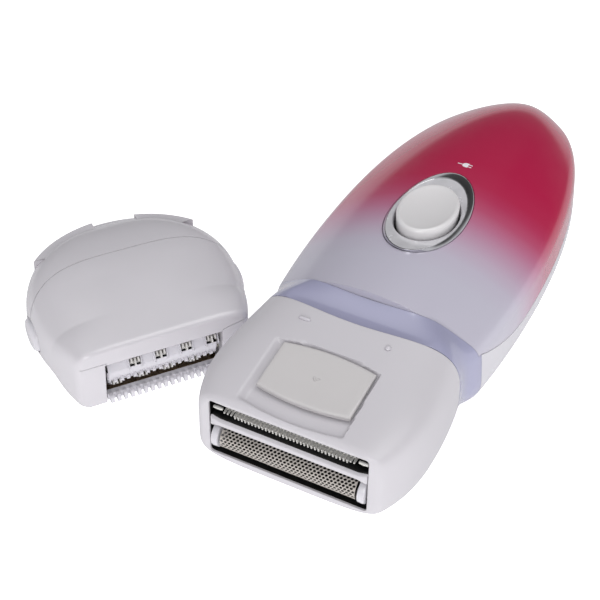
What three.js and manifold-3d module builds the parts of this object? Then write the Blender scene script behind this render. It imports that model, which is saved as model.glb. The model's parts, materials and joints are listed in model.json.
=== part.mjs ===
// Cordless wet/dry epilator: a handset carrying a shaver head, and its loose epilation head.
// Millimetres. The handset lies on its back: +Z up, +Y towards the tail, X across the width.
// The origin is the centre of the flat rest area on the back cover.
import * as THREE from 'three';
import { mergeVertices } from 'three/addons/utils/BufferGeometryUtils.js';
import Module from 'manifold-3d';

const wasm = await Module();
wasm.setup();

// ---------- driving dimensions ----------
const GAP = 0.3;
const WALL = 2;

const BODY = {
  half: 29, neckHalf: 25.9, widestY: 8, neckY: -31, tailY: 85,
  crownZ: 34.3, midZ: 11.6, creaseZ: 22.5, tailKeelZ: 8, neckKeelZ: 3,
};
const COLLAR = { rearY: -20, rearArc: 6, frontY: -30.3, frontArc: 4.4, valleyZ: 30.2 };
const PARTING = { z: 14, neckRise: 7, tailRise: 3 };
// The switch ring: a teardrop base in the cover, rising to an oval crest, then down to the oval button.
const SWITCH = {
  y: 7.2, ringHalfX: 9.7, ringHalfY: 17.7, ringY: 8.8, ringDepth: 5,
  crestHalfX: 8.8, crestHalfY: 15.6, crestY: 6.5, crestProud: 0.65,
  lipHalfX: 7.9, lipHalfY: 11.1, lipY: 6.8, lipDrop: 0.6,
  buttonHalfX: 7.3, buttonHalfY: 10.1, proud: 2,
};

const HEAD = {
  half: 27.2, widestY: -46, frontY: -66.8, frontHalf: 22.4, slope: 0.14, topZ: 29.5, topAtY: -50,
  frontKeelZ: 7.4, midZ: 14, wall: 2.6,
};
const OPENING = { half: 19.6, lowZ: 9.8, highZ: 25.8 };
const PLUG = { half: 22.9, lowZ: 6.4, highZ: 27.4, rearY: -24.8, frontY: -38, wall: 2 };
const SLIDER = { half: 11.6, rearY: -46.3, frontY: -59.7, travel: 3.5, thick: 1.2, proud: 0.5 };

const MOTOR = { r: 10, z: 14.5, frontY: -12, rearY: 15 };
const CELL = { r: 7, z: 16, frontY: 18, rearY: 58 };
const BOARD = { half: 12, frontY: -8, rearY: 44, z: 26, thick: 1.2, screwX: 9.5, screwInset: 3.5 };
const SOCKET = { z: 15.2, r: 3.2, rearY: 80.6 };
const DRIVE = {
  pinionTeeth: 10, gearTeeth: 20, module: 0.5, gearZ: 22, pinionY: -17.6, thick: 3, eccentric: 1,
};

const EPI = {
  x: -45, y: -46, yaw: 51.8, half: 27, frontHalf: 21.6, widestY: 20, rearY: 44.5,
  frontTopZ: 20, slope: 0.13, lean: 0.13, midZ: 10, seamY: 26.3, seamArc: 5, wall: 2.2, innerInset: 4,
};
const EPI_RIM = { halfX: 26.4, halfY: 22.7, y: 20, fromY: 33.5, lowZ: 3, topZ: 22, notchZ: 20.5 };
const EPI_WINDOW = { half: 15, highZ: 14.6 };
const RELEASE = { y: 19, z: 11.5, r: 3.9, stretch: 1.25, outX: 28, flangeX: 20.6 };
const DRUM = { r: 5, y: 4.9, z: 9.3, half: 14.2, discR: 5.9, pitch: 6.6 };
// Each tweezer row's angle about the drum axis in radians, and its shift along the drum.
const ROW = {
  upper: { angle: 2.72, phase: 2.8 },
  lower: { angle: 3.95, phase: -1.9 },
};
const EPI_GEAR = { teeth: 12, module: 0.45, x: 17, thick: 2, spacing: 5.6 };
const COMB = { pitch: 1.6, duty: 0.5, rootY: -65.5 };
const FOIL = { y: -64.2, z: 14.2, r: 3.1, wall: 0.25, half: 17.2, capR: 3.5, capX: 17.4, cutterR: 2.5 };

// ---------- materials ----------
const paint = (color, roughness, metalness = 0) =>
  new THREE.MeshStandardMaterial({ color, roughness, metalness });
const coverPaint = () => paint('#b04a74', 0.15);
const lavender = () => paint('#b3b1cc', 0.3);
const whiteShell = () => paint('#e9e8ec', 0.3);
const satinGrey = () => paint('#cfced4', 0.4);
const chrome = () => paint('#d8d8da', 0.12, 1);
const steel = () => paint('#a9abb0', 0.3, 1);
const darkPlastic = () => paint('#2b2c30', 0.5);
const rubber = () => paint('#3a3a3f', 0.8);
const brass = () => paint('#c6a04c', 0.3, 1);
const greenBoard = () => paint('#1f6b45', 0.5);
const naturalPlastic = () => paint('#e4e0d6', 0.5);

// ---------- mesh helpers ----------
function toSolid(geometry) {
  const bare = geometry.clone();
  bare.deleteAttribute('normal');
  bare.deleteAttribute('uv');
  const merged = mergeVertices(bare, 1e-4);
  const vertProperties = new Float32Array(merged.attributes.position.array);
  const triVerts = new Uint32Array(merged.index.array);
  if (signedVolume(vertProperties, triVerts) < 0) {
    for (let i = 0; i < triVerts.length; i += 3) {
      const swap = triVerts[i];
      triVerts[i] = triVerts[i + 1];
      triVerts[i + 1] = swap;
    }
  }
  return new wasm.Manifold(new wasm.Mesh({ numProp: 3, vertProperties, triVerts }));
}

function signedVolume(p, t) {
  let sum = 0;
  for (let i = 0; i < t.length; i += 3) {
    const a = new THREE.Vector3().fromArray(p, 3 * t[i]);
    const b = new THREE.Vector3().fromArray(p, 3 * t[i + 1]);
    const c = new THREE.Vector3().fromArray(p, 3 * t[i + 2]);
    sum += a.dot(b.cross(c));
  }
  return sum / 6;
}

function toGeometry(solid) {
  const mesh = solid.getMesh();
  const geometry = new THREE.BufferGeometry();
  geometry.setAttribute('position', new THREE.BufferAttribute(new Float32Array(mesh.vertProperties), 3));
  geometry.setIndex(new THREE.BufferAttribute(new Uint32Array(mesh.triVerts), 1));
  geometry.computeVertexNormals();
  return geometry;
}

function piece(group, name, solid, material) {
  const mesh = new THREE.Mesh(toGeometry(solid), material);
  mesh.name = name;
  group.add(mesh);
  return mesh;
}

// A closed skin through rings of equal length, with flat fans over both ends.
function loft(rings) {
  const count = rings[0].length;
  const points = rings.flat();
  const index = [];
  for (let r = 0; r + 1 < rings.length; r++) {
    for (let i = 0; i < count; i++) {
      const j = (i + 1) % count;
      const a = r * count;
      const b = a + count;
      index.push(a + i, a + j, b + i, a + j, b + j, b + i);
    }
  }
  addFan(points, index, 0, count, true);
  addFan(points, index, (rings.length - 1) * count, count, false);
  const geometry = new THREE.BufferGeometry();
  geometry.setAttribute('position', new THREE.Float32BufferAttribute(points.flat(), 3));
  geometry.setIndex(index);
  return toSolid(geometry);
}

function addFan(points, index, start, count, first) {
  const centre = [0, 0, 0];
  for (let i = 0; i < count; i++) {
    for (let k = 0; k < 3; k++) centre[k] += points[start + i][k] / count;
  }
  const hub = points.push(centre) - 1;
  for (let i = 0; i < count; i++) {
    const j = (i + 1) % count;
    if (first) index.push(hub, start + j, start + i);
    else index.push(hub, start + i, start + j);
  }
}

function box(x0, x1, y0, y1, z0, z1) {
  const geometry = new THREE.BoxGeometry(x1 - x0, y1 - y0, z1 - z0);
  geometry.translate((x0 + x1) / 2, (y0 + y1) / 2, (z0 + z1) / 2);
  return toSolid(geometry);
}

function cylinder(axis, r, from, to, a, b, sides = 16) {
  const geometry = new THREE.CylinderGeometry(r, r, to - from, sides);
  geometry.translate(0, (from + to) / 2, 0);
  if (axis === 'x') geometry.rotateZ(-Math.PI / 2);
  if (axis === 'z') geometry.rotateX(Math.PI / 2);
  if (axis === 'x') geometry.translate(0, a, b);
  if (axis === 'y') geometry.translate(a, 0, b);
  if (axis === 'z') geometry.translate(a, b, 0);
  return toSolid(geometry);
}

// A lathe profile of [radius, height] pairs turned about a line along +Z through (x, y).
function turnedZ(profile, x, y, sides = 28) {
  const geometry = new THREE.LatheGeometry(profile.map((p) => new THREE.Vector2(p[0], p[1])), sides);
  geometry.rotateX(Math.PI / 2);
  geometry.translate(x, y, 0);
  return toSolid(geometry);
}

// The same, turned about a line along +Y through (x, z).
function turnedY(profile, x, z, sides = 16) {
  const geometry = new THREE.LatheGeometry(profile.map((p) => new THREE.Vector2(p[0], p[1])), sides);
  geometry.translate(x, 0, z);
  return toSolid(geometry);
}

// A plan outline of [x, y] pairs raised from z0 to z1.
function prismZ(outline, z0, z1) {
  const shape = new THREE.Shape(outline.map((p) => new THREE.Vector2(p[0], p[1])));
  const geometry = new THREE.ExtrudeGeometry(shape, { depth: z1 - z0, bevelEnabled: false });
  geometry.translate(0, 0, z0);
  return toSolid(geometry);
}

// A side outline of [y, z] pairs swept across from x0 to x1.
function prismX(outline, x0, x1) {
  const shape = new THREE.Shape(outline.map((p) => new THREE.Vector2(p[0], p[1])));
  const geometry = new THREE.ExtrudeGeometry(shape, { depth: x1 - x0, bevelEnabled: false });
  geometry.rotateX(Math.PI / 2);
  geometry.rotateZ(Math.PI / 2);
  geometry.translate(x0, 0, 0);
  return toSolid(geometry);
}

function union(...solids) {
  return solids.reduce((all, one) => all.add(one));
}

function onSide(solid, side) {
  return side > 0 ? solid : solid.mirror([1, 0, 0]);
}

function steps(from, to, count) {
  return Array.from({ length: count + 1 }, (_, i) => from + ((to - from) * i) / count);
}

function power(value, exponent) {
  return Math.sign(value) * Math.abs(value) ** exponent;
}

// ---------- handset outline ----------
function bodyHalf(y) {
  if (y <= BODY.widestY) {
    const t = (BODY.widestY - y) / (BODY.widestY - BODY.neckY);
    return BODY.half - (BODY.half - BODY.neckHalf) * t * t;
  }
  const t = (y - BODY.widestY) / (BODY.tailY - BODY.widestY);
  return BODY.half * Math.sqrt(Math.max(0, 1 - t ** 2.24));
}

function bodyCrown(y) {
  const t = (y - 5) / 60;
  return BODY.crownZ - (t > 0 ? 2.36 : 1.54) * t * t;
}

function bodyKeel(y) {
  if (y > 5) return BODY.tailKeelZ * ((y - 5) / 60) ** 2;
  if (y < -8) return BODY.neckKeelZ * ((-8 - y) / 23) ** 2;
  return 0;
}

// Half ring over the top, from +X to -X: near-vertical wall, tight crease, shallow dome.
function topCurve(half, midZ, creaseZ, crownZ) {
  const lean = 0.03 * half;
  const cornerX = half - lean;
  const soft = 0.09 * half;
  const points = [[half, midZ], [half - 0.4 * lean, midZ + 0.45 * (creaseZ - midZ)]];
  const dome = (x) => creaseZ + (crownZ - creaseZ) * (1 - (x / cornerX) ** 2);
  const inX = cornerX - soft;
  const wallEnd = [cornerX + 0.2 * lean, creaseZ - 0.25 * (creaseZ - midZ)];
  for (const t of steps(0, 1, 3)) {
    const s = 1 - t;
    points.push([
      s * s * wallEnd[0] + 2 * s * t * cornerX + t * t * inX,
      s * s * wallEnd[1] + 2 * s * t * creaseZ + t * t * dome(inX),
    ]);
  }
  for (const x of steps(inX, 0, 4).slice(1)) points.push([x, dome(x)]);
  const mirrored = points.slice(0, -1).reverse().map(([x, z]) => [-x, z]);
  return points.concat(mirrored);
}

// Half ring under the belly, from -X to +X, flattened where it would pass below floorZ.
function bellyCurve(half, midZ, keelZ, floorZ) {
  return steps(Math.PI, 2 * Math.PI, 14).slice(1, -1).map((a) => {
    const x = half * power(Math.cos(a), 2 / 2.3);
    const z = midZ - (midZ - keelZ) * power(-Math.sin(a), 2 / 2.3);
    return [x, Math.max(z, floorZ)];
  });
}

function bodyRing(y, inset) {
  const half = Math.max(bodyHalf(y) - inset, 0.6);
  const shrink = Math.min(1, Math.sqrt(half / (BODY.half - inset)) * 1.001);
  const k = y > BODY.widestY ? shrink : 1;
  const midZ = BODY.midZ;
  const crown = midZ + (bodyCrown(y) - inset - midZ) * k;
  const crease = midZ + (BODY.creaseZ - inset / 2 - midZ) * k;
  const keel = midZ - Math.max(midZ - bodyKeel(y) - inset + 0.8, 1) * k;
  const ring = topCurve(half, midZ, crease, crown).concat(bellyCurve(half, midZ, keel, inset));
  return ring.map(([x, z]) => [x, y, z]);
}

function bodyStations(frontY, tailY, count) {
  const middle = BODY.widestY;
  const fore = steps(frontY, middle, Math.ceil(count / 3));
  const aft = steps(0, 1, count).slice(1).map((t) => middle + (tailY - middle) * Math.sin((t * Math.PI) / 2));
  return fore.concat(aft);
}

function bodySolid(frontY, inset, count) {
  const tailY = BODY.tailY - 0.03 - inset;
  return loft(bodyStations(frontY, tailY, count).map((y) => bodyRing(y, inset)));
}

// ---------- head outline shared by the collar and the shaver head ----------
function headHalf(y) {
  if (y > HEAD.widestY) return HEAD.half - 1.3 * ((y - HEAD.widestY) / 15) ** 2;
  const t = (HEAD.widestY - y) / (HEAD.widestY - HEAD.frontY);
  return HEAD.half - (HEAD.half - HEAD.frontHalf) * t ** 2.4;
}

function headTop(y) {
  return HEAD.topZ + HEAD.slope * (y - HEAD.topAtY);
}

function headKeel(y) {
  const t = Math.max(0, (BODY.neckY - y) / (BODY.neckY - HEAD.frontY));
  return BODY.neckKeelZ + (HEAD.frontKeelZ - BODY.neckKeelZ) * t * t;
}

// A ring with as many points as a body ring, a squarer upper half and a rounder lower half.
function squareRing(y, half, midZ, topZ, keelZ, upper, lower) {
  const angles = steps(0, Math.PI, 18).concat(steps(Math.PI, 2 * Math.PI, 14).slice(1, -1));
  return angles.map((a) => {
    const c = Math.cos(a);
    const s = Math.sin(a);
    const e = s > 0 ? upper : lower;
    const reach = s > 0 ? topZ - midZ : midZ - keelZ;
    const z = midZ + reach * power(s, 2 / e);
    return [half * power(c, 2 / e), y, z];
  });
}

// The section is round at the neck and squares up towards the front opening.
function headRing(y, inset) {
  const t = Math.max(0, (BODY.neckY - y) / (BODY.neckY - HEAD.frontY));
  const upper = 3.4 + 5 * t * t;
  const lower = 2.6 + 1.8 * t * t;
  return squareRing(y, headHalf(y) - inset, HEAD.midZ, headTop(y) - inset, headKeel(y) + inset, upper, lower);
}

// Plan curve where the collar meets the head; its middle reaches further forward.
function neckLine(x) {
  return COLLAR.frontY - COLLAR.frontArc * (1 - (x / 26) ** 2);
}

// Plan curve where the front cover's top meets the collar.
function coverLine(x) {
  return COLLAR.rearY - COLLAR.rearArc * (1 - (x / 29) ** 2);
}

// Everything on the tail side of a plan curve, out to farY.
function beyondLine(line, offset, farY) {
  const xs = steps(-34, 34, 14);
  const edge = xs.map((x) => [x, line(x) + offset]);
  return prismZ([...edge, [34, farY], [-34, farY]], -5, 45);
}

// ---------- handset shells ----------
function partingZ(y) {
  if (y < BODY.widestY) return PARTING.z + PARTING.neckRise * ((BODY.widestY - y) / 28) ** 2;
  return PARTING.z + PARTING.tailRise * ((y - BODY.widestY) / 77) ** 2;
}

// Everything between the parting line, moved up by the offset, and the level farZ.
function besidePart(offset, farZ) {
  const ys = steps(-45, 95, 20);
  const edge = ys.map((y) => [y, partingZ(Math.max(y, COLLAR.rearY)) + offset]);
  return prismX([...edge, [95, farZ], [-45, farZ]], -40, 40);
}

function abovePart(offset) {
  return besidePart(offset, 50);
}

function belowPart(offset) {
  return besidePart(offset, -10);
}

// The egg-shaped switch opening, grown outward by the given amount.
function switchHole(grow) {
  const a = SWITCH.ringHalfX + grow;
  const b = SWITCH.ringHalfY + grow;
  return steps(0, 2 * Math.PI, 32).slice(0, -1).map((t) => {
    const taper = 1 - 0.06 * Math.sin(t);
    return [a * taper * Math.cos(t), SWITCH.ringY + b * Math.sin(t)];
  });
}

function handsetShell() {
  const frontY = COLLAR.rearY - COLLAR.rearArc - 4;
  return bodySolid(frontY, 0, 11).subtract(bodySolid(frontY - 2, WALL, 7));
}

function frontCover(shell) {
  return shell
    .intersect(abovePart(0.1))
    .intersect(beyondLine(coverLine, 0.15, 95))
    .subtract(prismZ(switchHole(GAP), 20, 45))
    .subtract(socketHole());
}

function backCover(shell) {
  return shell
    .intersect(belowPart(-0.1))
    .intersect(box(-40, 40, COLLAR.rearY + 0.15, 95, -5, 45))
    .subtract(socketHole());
}

function socketHole() {
  return cylinder('y', SOCKET.r + GAP, 70, 95, 0, SOCKET.z);
}

// The collar blends the body's section into the head's section through a shallow valley.
function collarSolid() {
  const ys = [-37, -34.5, -32, -30, -28, -26, -24, -22, -20, -18];
  return loft(ys.map((y) => {
    const t = Math.min(1, Math.max(0, (COLLAR.rearY - y) / (COLLAR.rearY - BODY.neckY)));
    const body = bodyRing(Math.max(y, BODY.neckY), 0);
    const head = headRing(Math.min(y, -25), 0);
    return body.map((p, i) => blendPoint(p, head[i], t, y));
  }));
}

function blendPoint(p, q, t, y) {
  const ease = t * t * (3 - 2 * t);
  const crown = Math.max(0, Math.min(1, (-22 - y) / 9));
  const x = p[0] + (q[0] - p[0]) * ease;
  const z = p[2] + (q[2] - p[2]) * ease;
  const high = Math.max(0, (z - COLLAR.valleyZ) * crown);
  return [x, y, z - high];
}

function plugRing(y, inset) {
  return squareRing(y, PLUG.half - inset, HEAD.midZ, PLUG.highZ - inset, PLUG.lowZ + inset, 3.6, 2.6);
}

function neckCollar() {
  const socket = loft([plugRing(-40, -0.4), plugRing(PLUG.rearY + 0.4, -0.4)]);
  const hollow = loft([-22.2, -20, -16].map((y) => bodyRing(y, WALL)));
  return collarSolid()
    .subtract(beyondLine(coverLine, -0.15, 10).intersect(abovePart(-0.1)))
    .subtract(box(-40, 40, COLLAR.rearY - 0.15, 10, -5, 45).intersect(belowPart(0.1)))
    .intersect(beyondLine(neckLine, 0, 10))
    .subtract(socket)
    .subtract(hollow)
    .subtract(cylinder('y', 3.1, -26, -20, 0, DRIVE.gearZ, 24));
}

// ---------- switch ----------
function switchBezel() {
  const w = SWITCH;
  const crestZ = crownAtSwitch() + w.crestProud;
  const base = switchHole(0).map(([x, y]) => [x, y, coverZ(x, y) - 0.05]);
  const foot = base.map(([x, y, z]) => [x, y, z - w.ringDepth + 0.6]);
  const crest = ovalRing(w.crestHalfX, w.crestHalfY, w.crestY, crestZ);
  const lip = ovalRing(w.lipHalfX, w.lipHalfY, w.lipY, crestZ - w.lipDrop);
  const well = ovalRing(w.buttonHalfX + GAP, w.buttonHalfY + GAP, w.y, crestZ - 2.6);
  const floor = well.map(([x, y, z]) => [x, y, z - 4]);
  const over = crest.map(([x, y, z]) => [x, y, z + 1]);
  return loft([foot, base, crest]).subtract(loft([floor, well, lip, crest, over]));
}

function ovalRing(halfX, halfY, y, z) {
  return steps(0, 2 * Math.PI, 32).slice(0, -1)
    .map((t) => [halfX * Math.cos(t), y + halfY * Math.sin(t), z]);
}

function crownAtSwitch() {
  return bodyCrown(SWITCH.y);
}

// Height of the cover's dome above a plan point near the switch.
function coverZ(x, y) {
  const rise = bodyCrown(y) - BODY.creaseZ;
  return BODY.creaseZ + rise * (1 - (x / (0.97 * bodyHalf(y))) ** 2);
}

function powerButton() {
  const w = SWITCH;
  const top = crownAtSwitch() + w.proud;
  const rows = [
    [0.78, top - 2.6], [0.78, top - 4.6], [1, top - 4.6], [1, top - 0.7], [0.95, top - 0.15],
    [0.88, top], [0.67, top - 0.3], [0.4, top - 0.6], [0.1, top - 0.7],
  ];
  const cap = loft(rows.map(([f, z]) => ovalRing(w.buttonHalfX * f, w.buttonHalfY * f, w.y, z)));
  return cap.add(cylinder('z', 1.6, 31.6, top - 2, 0, w.y, 16));
}

function buttonSeal() {
  const w = SWITCH;
  const z = crownAtSwitch() - 4.7;
  const plate = loft([z, z + 0.8].map((h) => ovalRing(w.buttonHalfX, w.buttonHalfY, w.y, h)));
  return plate
    .add(cylinder('z', 3.2, z, z + 1.6, 0, w.y, 20))
    .subtract(cylinder('z', 2.4, z - 1, z + 3, 0, w.y, 20));
}

// ---------- handset internals ----------
function screwPlaces() {
  const b = BOARD;
  const ys = [b.frontY + b.screwInset, b.rearY - b.screwInset];
  return ys.flatMap((y) => [[-b.screwX, y], [b.screwX, y]]);
}

function screwHoles() {
  return union(...screwPlaces().map(([x, y]) => cylinder('z', 1.2, 22.5, 35, x, y, 12)));
}

function chassis() {
  const bosses = screwPlaces().map(([x, y]) => box(x - 2, x + 2, y - 2, y + 2, 24, BOARD.z - GAP));
  return box(-13.5, 13.5, -14, 60, 9.5, 24.4)
    .subtract(box(-16, 16, 50, 62, 22, 30))
    .add(union(...bosses))
    .subtract(cylinder('y', MOTOR.r + GAP, -20, MOTOR.rearY + GAP, 0, MOTOR.z))
    .subtract(cylinder('y', CELL.r + GAP, MOTOR.rearY + 1.4, CELL.rearY + 2.2, 0, CELL.z))
    .subtract(box(-16, 16, -6, 8, 5, 17))
    .subtract(box(-16, 16, 26, 50, 5, 17))
    .subtract(box(-5, 5, -16, 62, 20, 30))
    .subtract(box(-5, 5, -16, 57, 5, 12))
    .subtract(screwHoles());
}

function mainBoard() {
  const b = BOARD;
  return box(-b.half, b.half, b.frontY, b.rearY, b.z, b.z + b.thick).subtract(screwHoles());
}

function boardScrew(x, y) {
  const z = BOARD.z + BOARD.thick + 0.1;
  const profile = [[0, z - 3.2], [0.9, z - 3.2], [0.9, z], [1.9, z], [1.7, z + 1.1], [0, z + 1.1]];
  return turnedZ(profile, x, y, 10);
}

function tactSwitch() {
  const z = BOARD.z + BOARD.thick + 0.1;
  const plunger = cylinder('z', 1.2, z + 1, z + 3, 0, SWITCH.y, 16);
  return box(-3, 3, SWITCH.y - 3, SWITCH.y + 3, z, z + 2).add(plunger);
}

function motorCan() {
  const m = MOTOR;
  const profile = [
    [0, m.frontY - 2], [2.4, m.frontY - 2], [2.4, m.frontY], [m.r - 0.8, m.frontY], [m.r, m.frontY + 0.8],
    [m.r, m.rearY - 1], [m.r - 1, m.rearY], [0, m.rearY],
  ];
  return turnedY(profile, 0, m.z, 20).subtract(cylinder('y', 1.1, m.frontY - 4, m.frontY + 6, 0, m.z, 12));
}

function batteryCell() {
  const c = CELL;
  const profile = [
    [0, c.frontY], [2.6, c.frontY], [2.6, c.frontY + 1], [c.r - 0.6, c.frontY + 1], [c.r, c.frontY + 1.6],
    [c.r, c.rearY - 0.6], [c.r - 0.6, c.rearY], [0, c.rearY],
  ];
  return turnedY(profile, 0, c.z, 20);
}

function contactStrip(y) {
  return union(box(-3, 3, y, y + 0.5, 11, 25.6), box(-1.5, 1.5, y, y + 0.5, 25, 25.8));
}

function chargeSocket() {
  const r = SOCKET.r;
  const end = SOCKET.rearY;
  const profile = [
    [1.6, 66], [r + 0.6, 66], [r + 0.6, 70], [r, 70], [r, end],
    [r - 1, end], [r - 1, 69], [1.6, 69], [1.6, 66],
  ];
  return turnedY(profile, 0, SOCKET.z);
}

function socketPin() {
  return turnedY([[0, 63], [1, 63], [1, 76], [0.6, 77], [0, 77]], 0, SOCKET.z, 12);
}

function gearShape(teeth, module) {
  const pitchR = (teeth * module) / 2;
  const tipR = pitchR + 0.9 * module;
  const rootR = pitchR - 1.15 * module;
  const pitch = (2 * Math.PI) / teeth;
  const shape = new THREE.Shape();
  for (let i = 0; i < teeth; i++) {
    const a = i * pitch;
    const corners = [[rootR, -0.27], [tipR, -0.11], [tipR, 0.11], [rootR, 0.27]];
    corners.forEach(([r, f], k) => {
      const x = r * Math.cos(a + f * pitch);
      const y = r * Math.sin(a + f * pitch);
      if (i === 0 && k === 0) shape.moveTo(x, y);
      else shape.lineTo(x, y);
    });
  }
  shape.closePath();
  return shape;
}

// A spur gear whose axis is along the named axis through (a, b), one tooth turned by phase.
function spurGear(axis, teeth, module, from, to, a, b, phase) {
  const shape = gearShape(teeth, module);
  const geometry = new THREE.ExtrudeGeometry(shape, { depth: to - from, bevelEnabled: false });
  geometry.rotateZ(phase);
  if (axis === 'y') {
    geometry.rotateX(Math.PI / 2);
    geometry.translate(a, to, b);
  } else {
    geometry.rotateX(Math.PI / 2);
    geometry.rotateZ(Math.PI / 2);
    geometry.translate(from, a, b);
  }
  return toSolid(geometry);
}

function motorPinion() {
  const d = DRIVE;
  const y = d.pinionY;
  const phase = Math.PI / 2 + Math.PI / d.pinionTeeth;
  return union(
    spurGear('y', d.pinionTeeth, d.module, y, y + d.thick, 0, MOTOR.z, phase),
    cylinder('y', 0.8, y - 0.5, MOTOR.frontY + 5, 0, MOTOR.z, 16),
  );
}

function outputGear() {
  const d = DRIVE;
  const y = d.pinionY;
  return union(
    spurGear('y', d.gearTeeth, d.module, y, y + d.thick, 0, d.gearZ, Math.PI / 2),
    cylinder('y', 1.5, -28.2, y + d.thick + 1, 0, d.gearZ, 20),
    cylinder('y', 2.6, -29.6, -28, 0, d.gearZ, 24),
    cylinder('y', 0.8, -37.4, -29, 0, d.gearZ + d.eccentric, 16),
  );
}

function outputBush() {
  const profile = [[1.8, -24.1], [2.8, -24.1], [2.8, -22], [4.2, -22], [4.2, -21], [1.8, -21], [1.8, -24.1]];
  return turnedY(profile, 0, DRIVE.gearZ);
}

function neckSeal() {
  const y0 = -28.6;
  const y1 = -27.4;
  return loft([plugRing(y0, -0.25), plugRing(y1, -0.25)])
    .subtract(loft([plugRing(y0 - 1, 0.6), plugRing(y1 + 1, 0.6)]));
}

// ---------- shaver head ----------
function shaverHousing() {
  const outerYs = [HEAD.frontY, -66.4, -65, -62, -58, -53, -48, -43, -38, -34, -30];
  const outer = loft(outerYs.map((y) => headRing(y, y < -66.6 ? 0.9 : 0)));
  const innerYs = [-63.6, -60, -54, -48, -42, -36, -29];
  const inner = loft(innerYs.map((y) => headRing(y, HEAD.wall)));
  const o = OPENING;
  return outer
    .subtract(inner)
    .subtract(beyondLine(neckLine, -GAP, 10))
    .subtract(box(-o.half, o.half, -70, -61, o.lowZ, o.highZ))
    .subtract(sloped(sliderPocket()));
}

// Turns a solid built level so that its base plane lies on the head's sloping top.
function sloped(solid) {
  const angle = (Math.atan(HEAD.slope) * 180) / Math.PI;
  return solid.translate([0, -HEAD.topAtY, 0]).rotate([angle, 0, 0]).translate([0, HEAD.topAtY, HEAD.topZ]);
}

function arcedPanel(half, rearY, frontY, bulge, z0, z1) {
  const xs = steps(-half, half, 12);
  const rear = xs.map((x) => [x, rearY + bulge * (1 - (x / half) ** 2)]);
  const front = [...xs].reverse().map((x) => [x, frontY - bulge * (1 - (x / half) ** 2)]);
  return prismZ([...rear, ...front], z0, z1);
}

function sliderPocket() {
  const s = SLIDER;
  const pocket = arcedPanel(s.half + GAP, s.rearY + GAP, s.frontY - s.travel - GAP, 1.2, -s.thick, 5);
  const slot = box(-4.6, 4.6, -59.6, -50.6, -6, 1);
  return union(pocket, slot);
}

function trimmerSlider() {
  const s = SLIDER;
  const panel = arcedPanel(s.half, s.rearY, s.frontY, 1.2, -s.thick + GAP, s.proud);
  return sloped(panel);
}

// Moving block under the housing's top wall; its neck stops just under the slider panel.
function trimmerCarrier() {
  const posts = [-1, 1].map((side) => box(side * 15.2 - 0.5, side * 15.2 + 0.5, -64, -61.4, -5.4, -4.3));
  return sloped(union(
    box(-4, 4, -55.2, -51.2, -5.8, -SLIDER.thick),
    box(-17, 17, -64, -51, -5.8, -5),
    ...posts,
  ));
}

function combTeeth(half, tipY, z0, z1) {
  const count = Math.floor((2 * half) / COMB.pitch);
  const start = -((count - 1) * COMB.pitch) / 2;
  const w = COMB.pitch * COMB.duty;
  return Array.from({ length: count }, (_, i) => start + i * COMB.pitch)
    .map((x) => box(x - w / 2, x + w / 2, tipY, COMB.rootY, z0, z1));
}

function trimmerComb() {
  const teeth = combTeeth(16, -67.2, -4.2, -3.6);
  return sloped(union(box(-16, 16, -66, -61.4, -4.2, -3.6), ...teeth));
}

function trimmerBlade() {
  const teeth = combTeeth(14, -67, -4.85, -4.4);
  return sloped(union(box(-13.8, 13.8, -66, -61.8, -4.85, -4.4), ...teeth));
}

function crossbar() {
  const side = [[-67, 18.9], [-67, 20.7], [-66.4, 21], [-62, 21], [-62, 18.6], [-66.4, 18.6]];
  return prismX(side, -OPENING.half + GAP, OPENING.half - GAP);
}

// Side outline of an arch that bulges forward, closed by a straight back edge.
function foilProfile(r, backY) {
  const arc = steps(-Math.PI / 2, Math.PI / 2, 10)
    .map((a) => [FOIL.y - r * Math.cos(a), FOIL.z + r * Math.sin(a)]);
  return [[backY, FOIL.z - r], ...arc, [backY, FOIL.z + r]];
}

function shaverFoil() {
  const f = FOIL;
  return prismX(foilProfile(f.r, -60), -f.half, f.half)
    .subtract(prismX(foilProfile(f.r - f.wall, -59), -f.half - 1, f.half + 1));
}

function foilCap(side) {
  return onSide(prismX(foilProfile(FOIL.capR, -60.4), FOIL.capX, FOIL.capX + 1.8), side);
}

function innerCutter() {
  const blank = prismX(foilProfile(FOIL.cutterR, -61.6), -15.6, 15.6);
  const slots = steps(-13.5, 13.5, 9).map((x) => box(x - 0.6, x + 0.6, -68, -63.2, 10, 18));
  return slots.reduce((solid, slot) => solid.subtract(slot), blank);
}

function oscillator() {
  return union(
    box(-9, 9, -60.2, -57.4, 12.2, 16.2),
    box(-4.5, 4.5, -57.8, -44, 12.2, 15),
    box(-4.5, 4.5, -46.4, -43.4, 12.2, 25),
    box(-4.5, 4.5, -44, -33.8, 18.4, 25),
  ).subtract(box(-2.8, 2.8, -39.4, -33, 16, 30));
}

function shaverBase() {
  const p = PLUG;
  return loft([plugRing(p.frontY, 0), plugRing(p.rearY, 0)])
    .subtract(loft([plugRing(p.frontY - 1, p.wall), plugRing(p.rearY - p.wall, p.wall)]))
    .subtract(box(-8, 8, p.rearY - 4, p.rearY + 1, 13.5, 25.2))
    .subtract(sealGroove());
}

function sealGroove() {
  const outside = loft([plugRing(-28.8, -1), plugRing(-27.2, -1)]);
  return outside.subtract(loft([plugRing(-30, 0.9), plugRing(-26, 0.9)]));
}

// ---------- epilation head, in its own level frame: front at y = 0, rest plane at z = 0 ----------
function epiHalf(y) {
  if (y <= EPI.widestY) return EPI.half - (EPI.half - EPI.frontHalf) * ((EPI.widestY - y) / EPI.widestY) ** 2;
  const t = (y - EPI.widestY) / (EPI.rearY - EPI.widestY);
  return EPI.half * Math.sqrt(Math.max(0, 1 - t * t));
}

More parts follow.
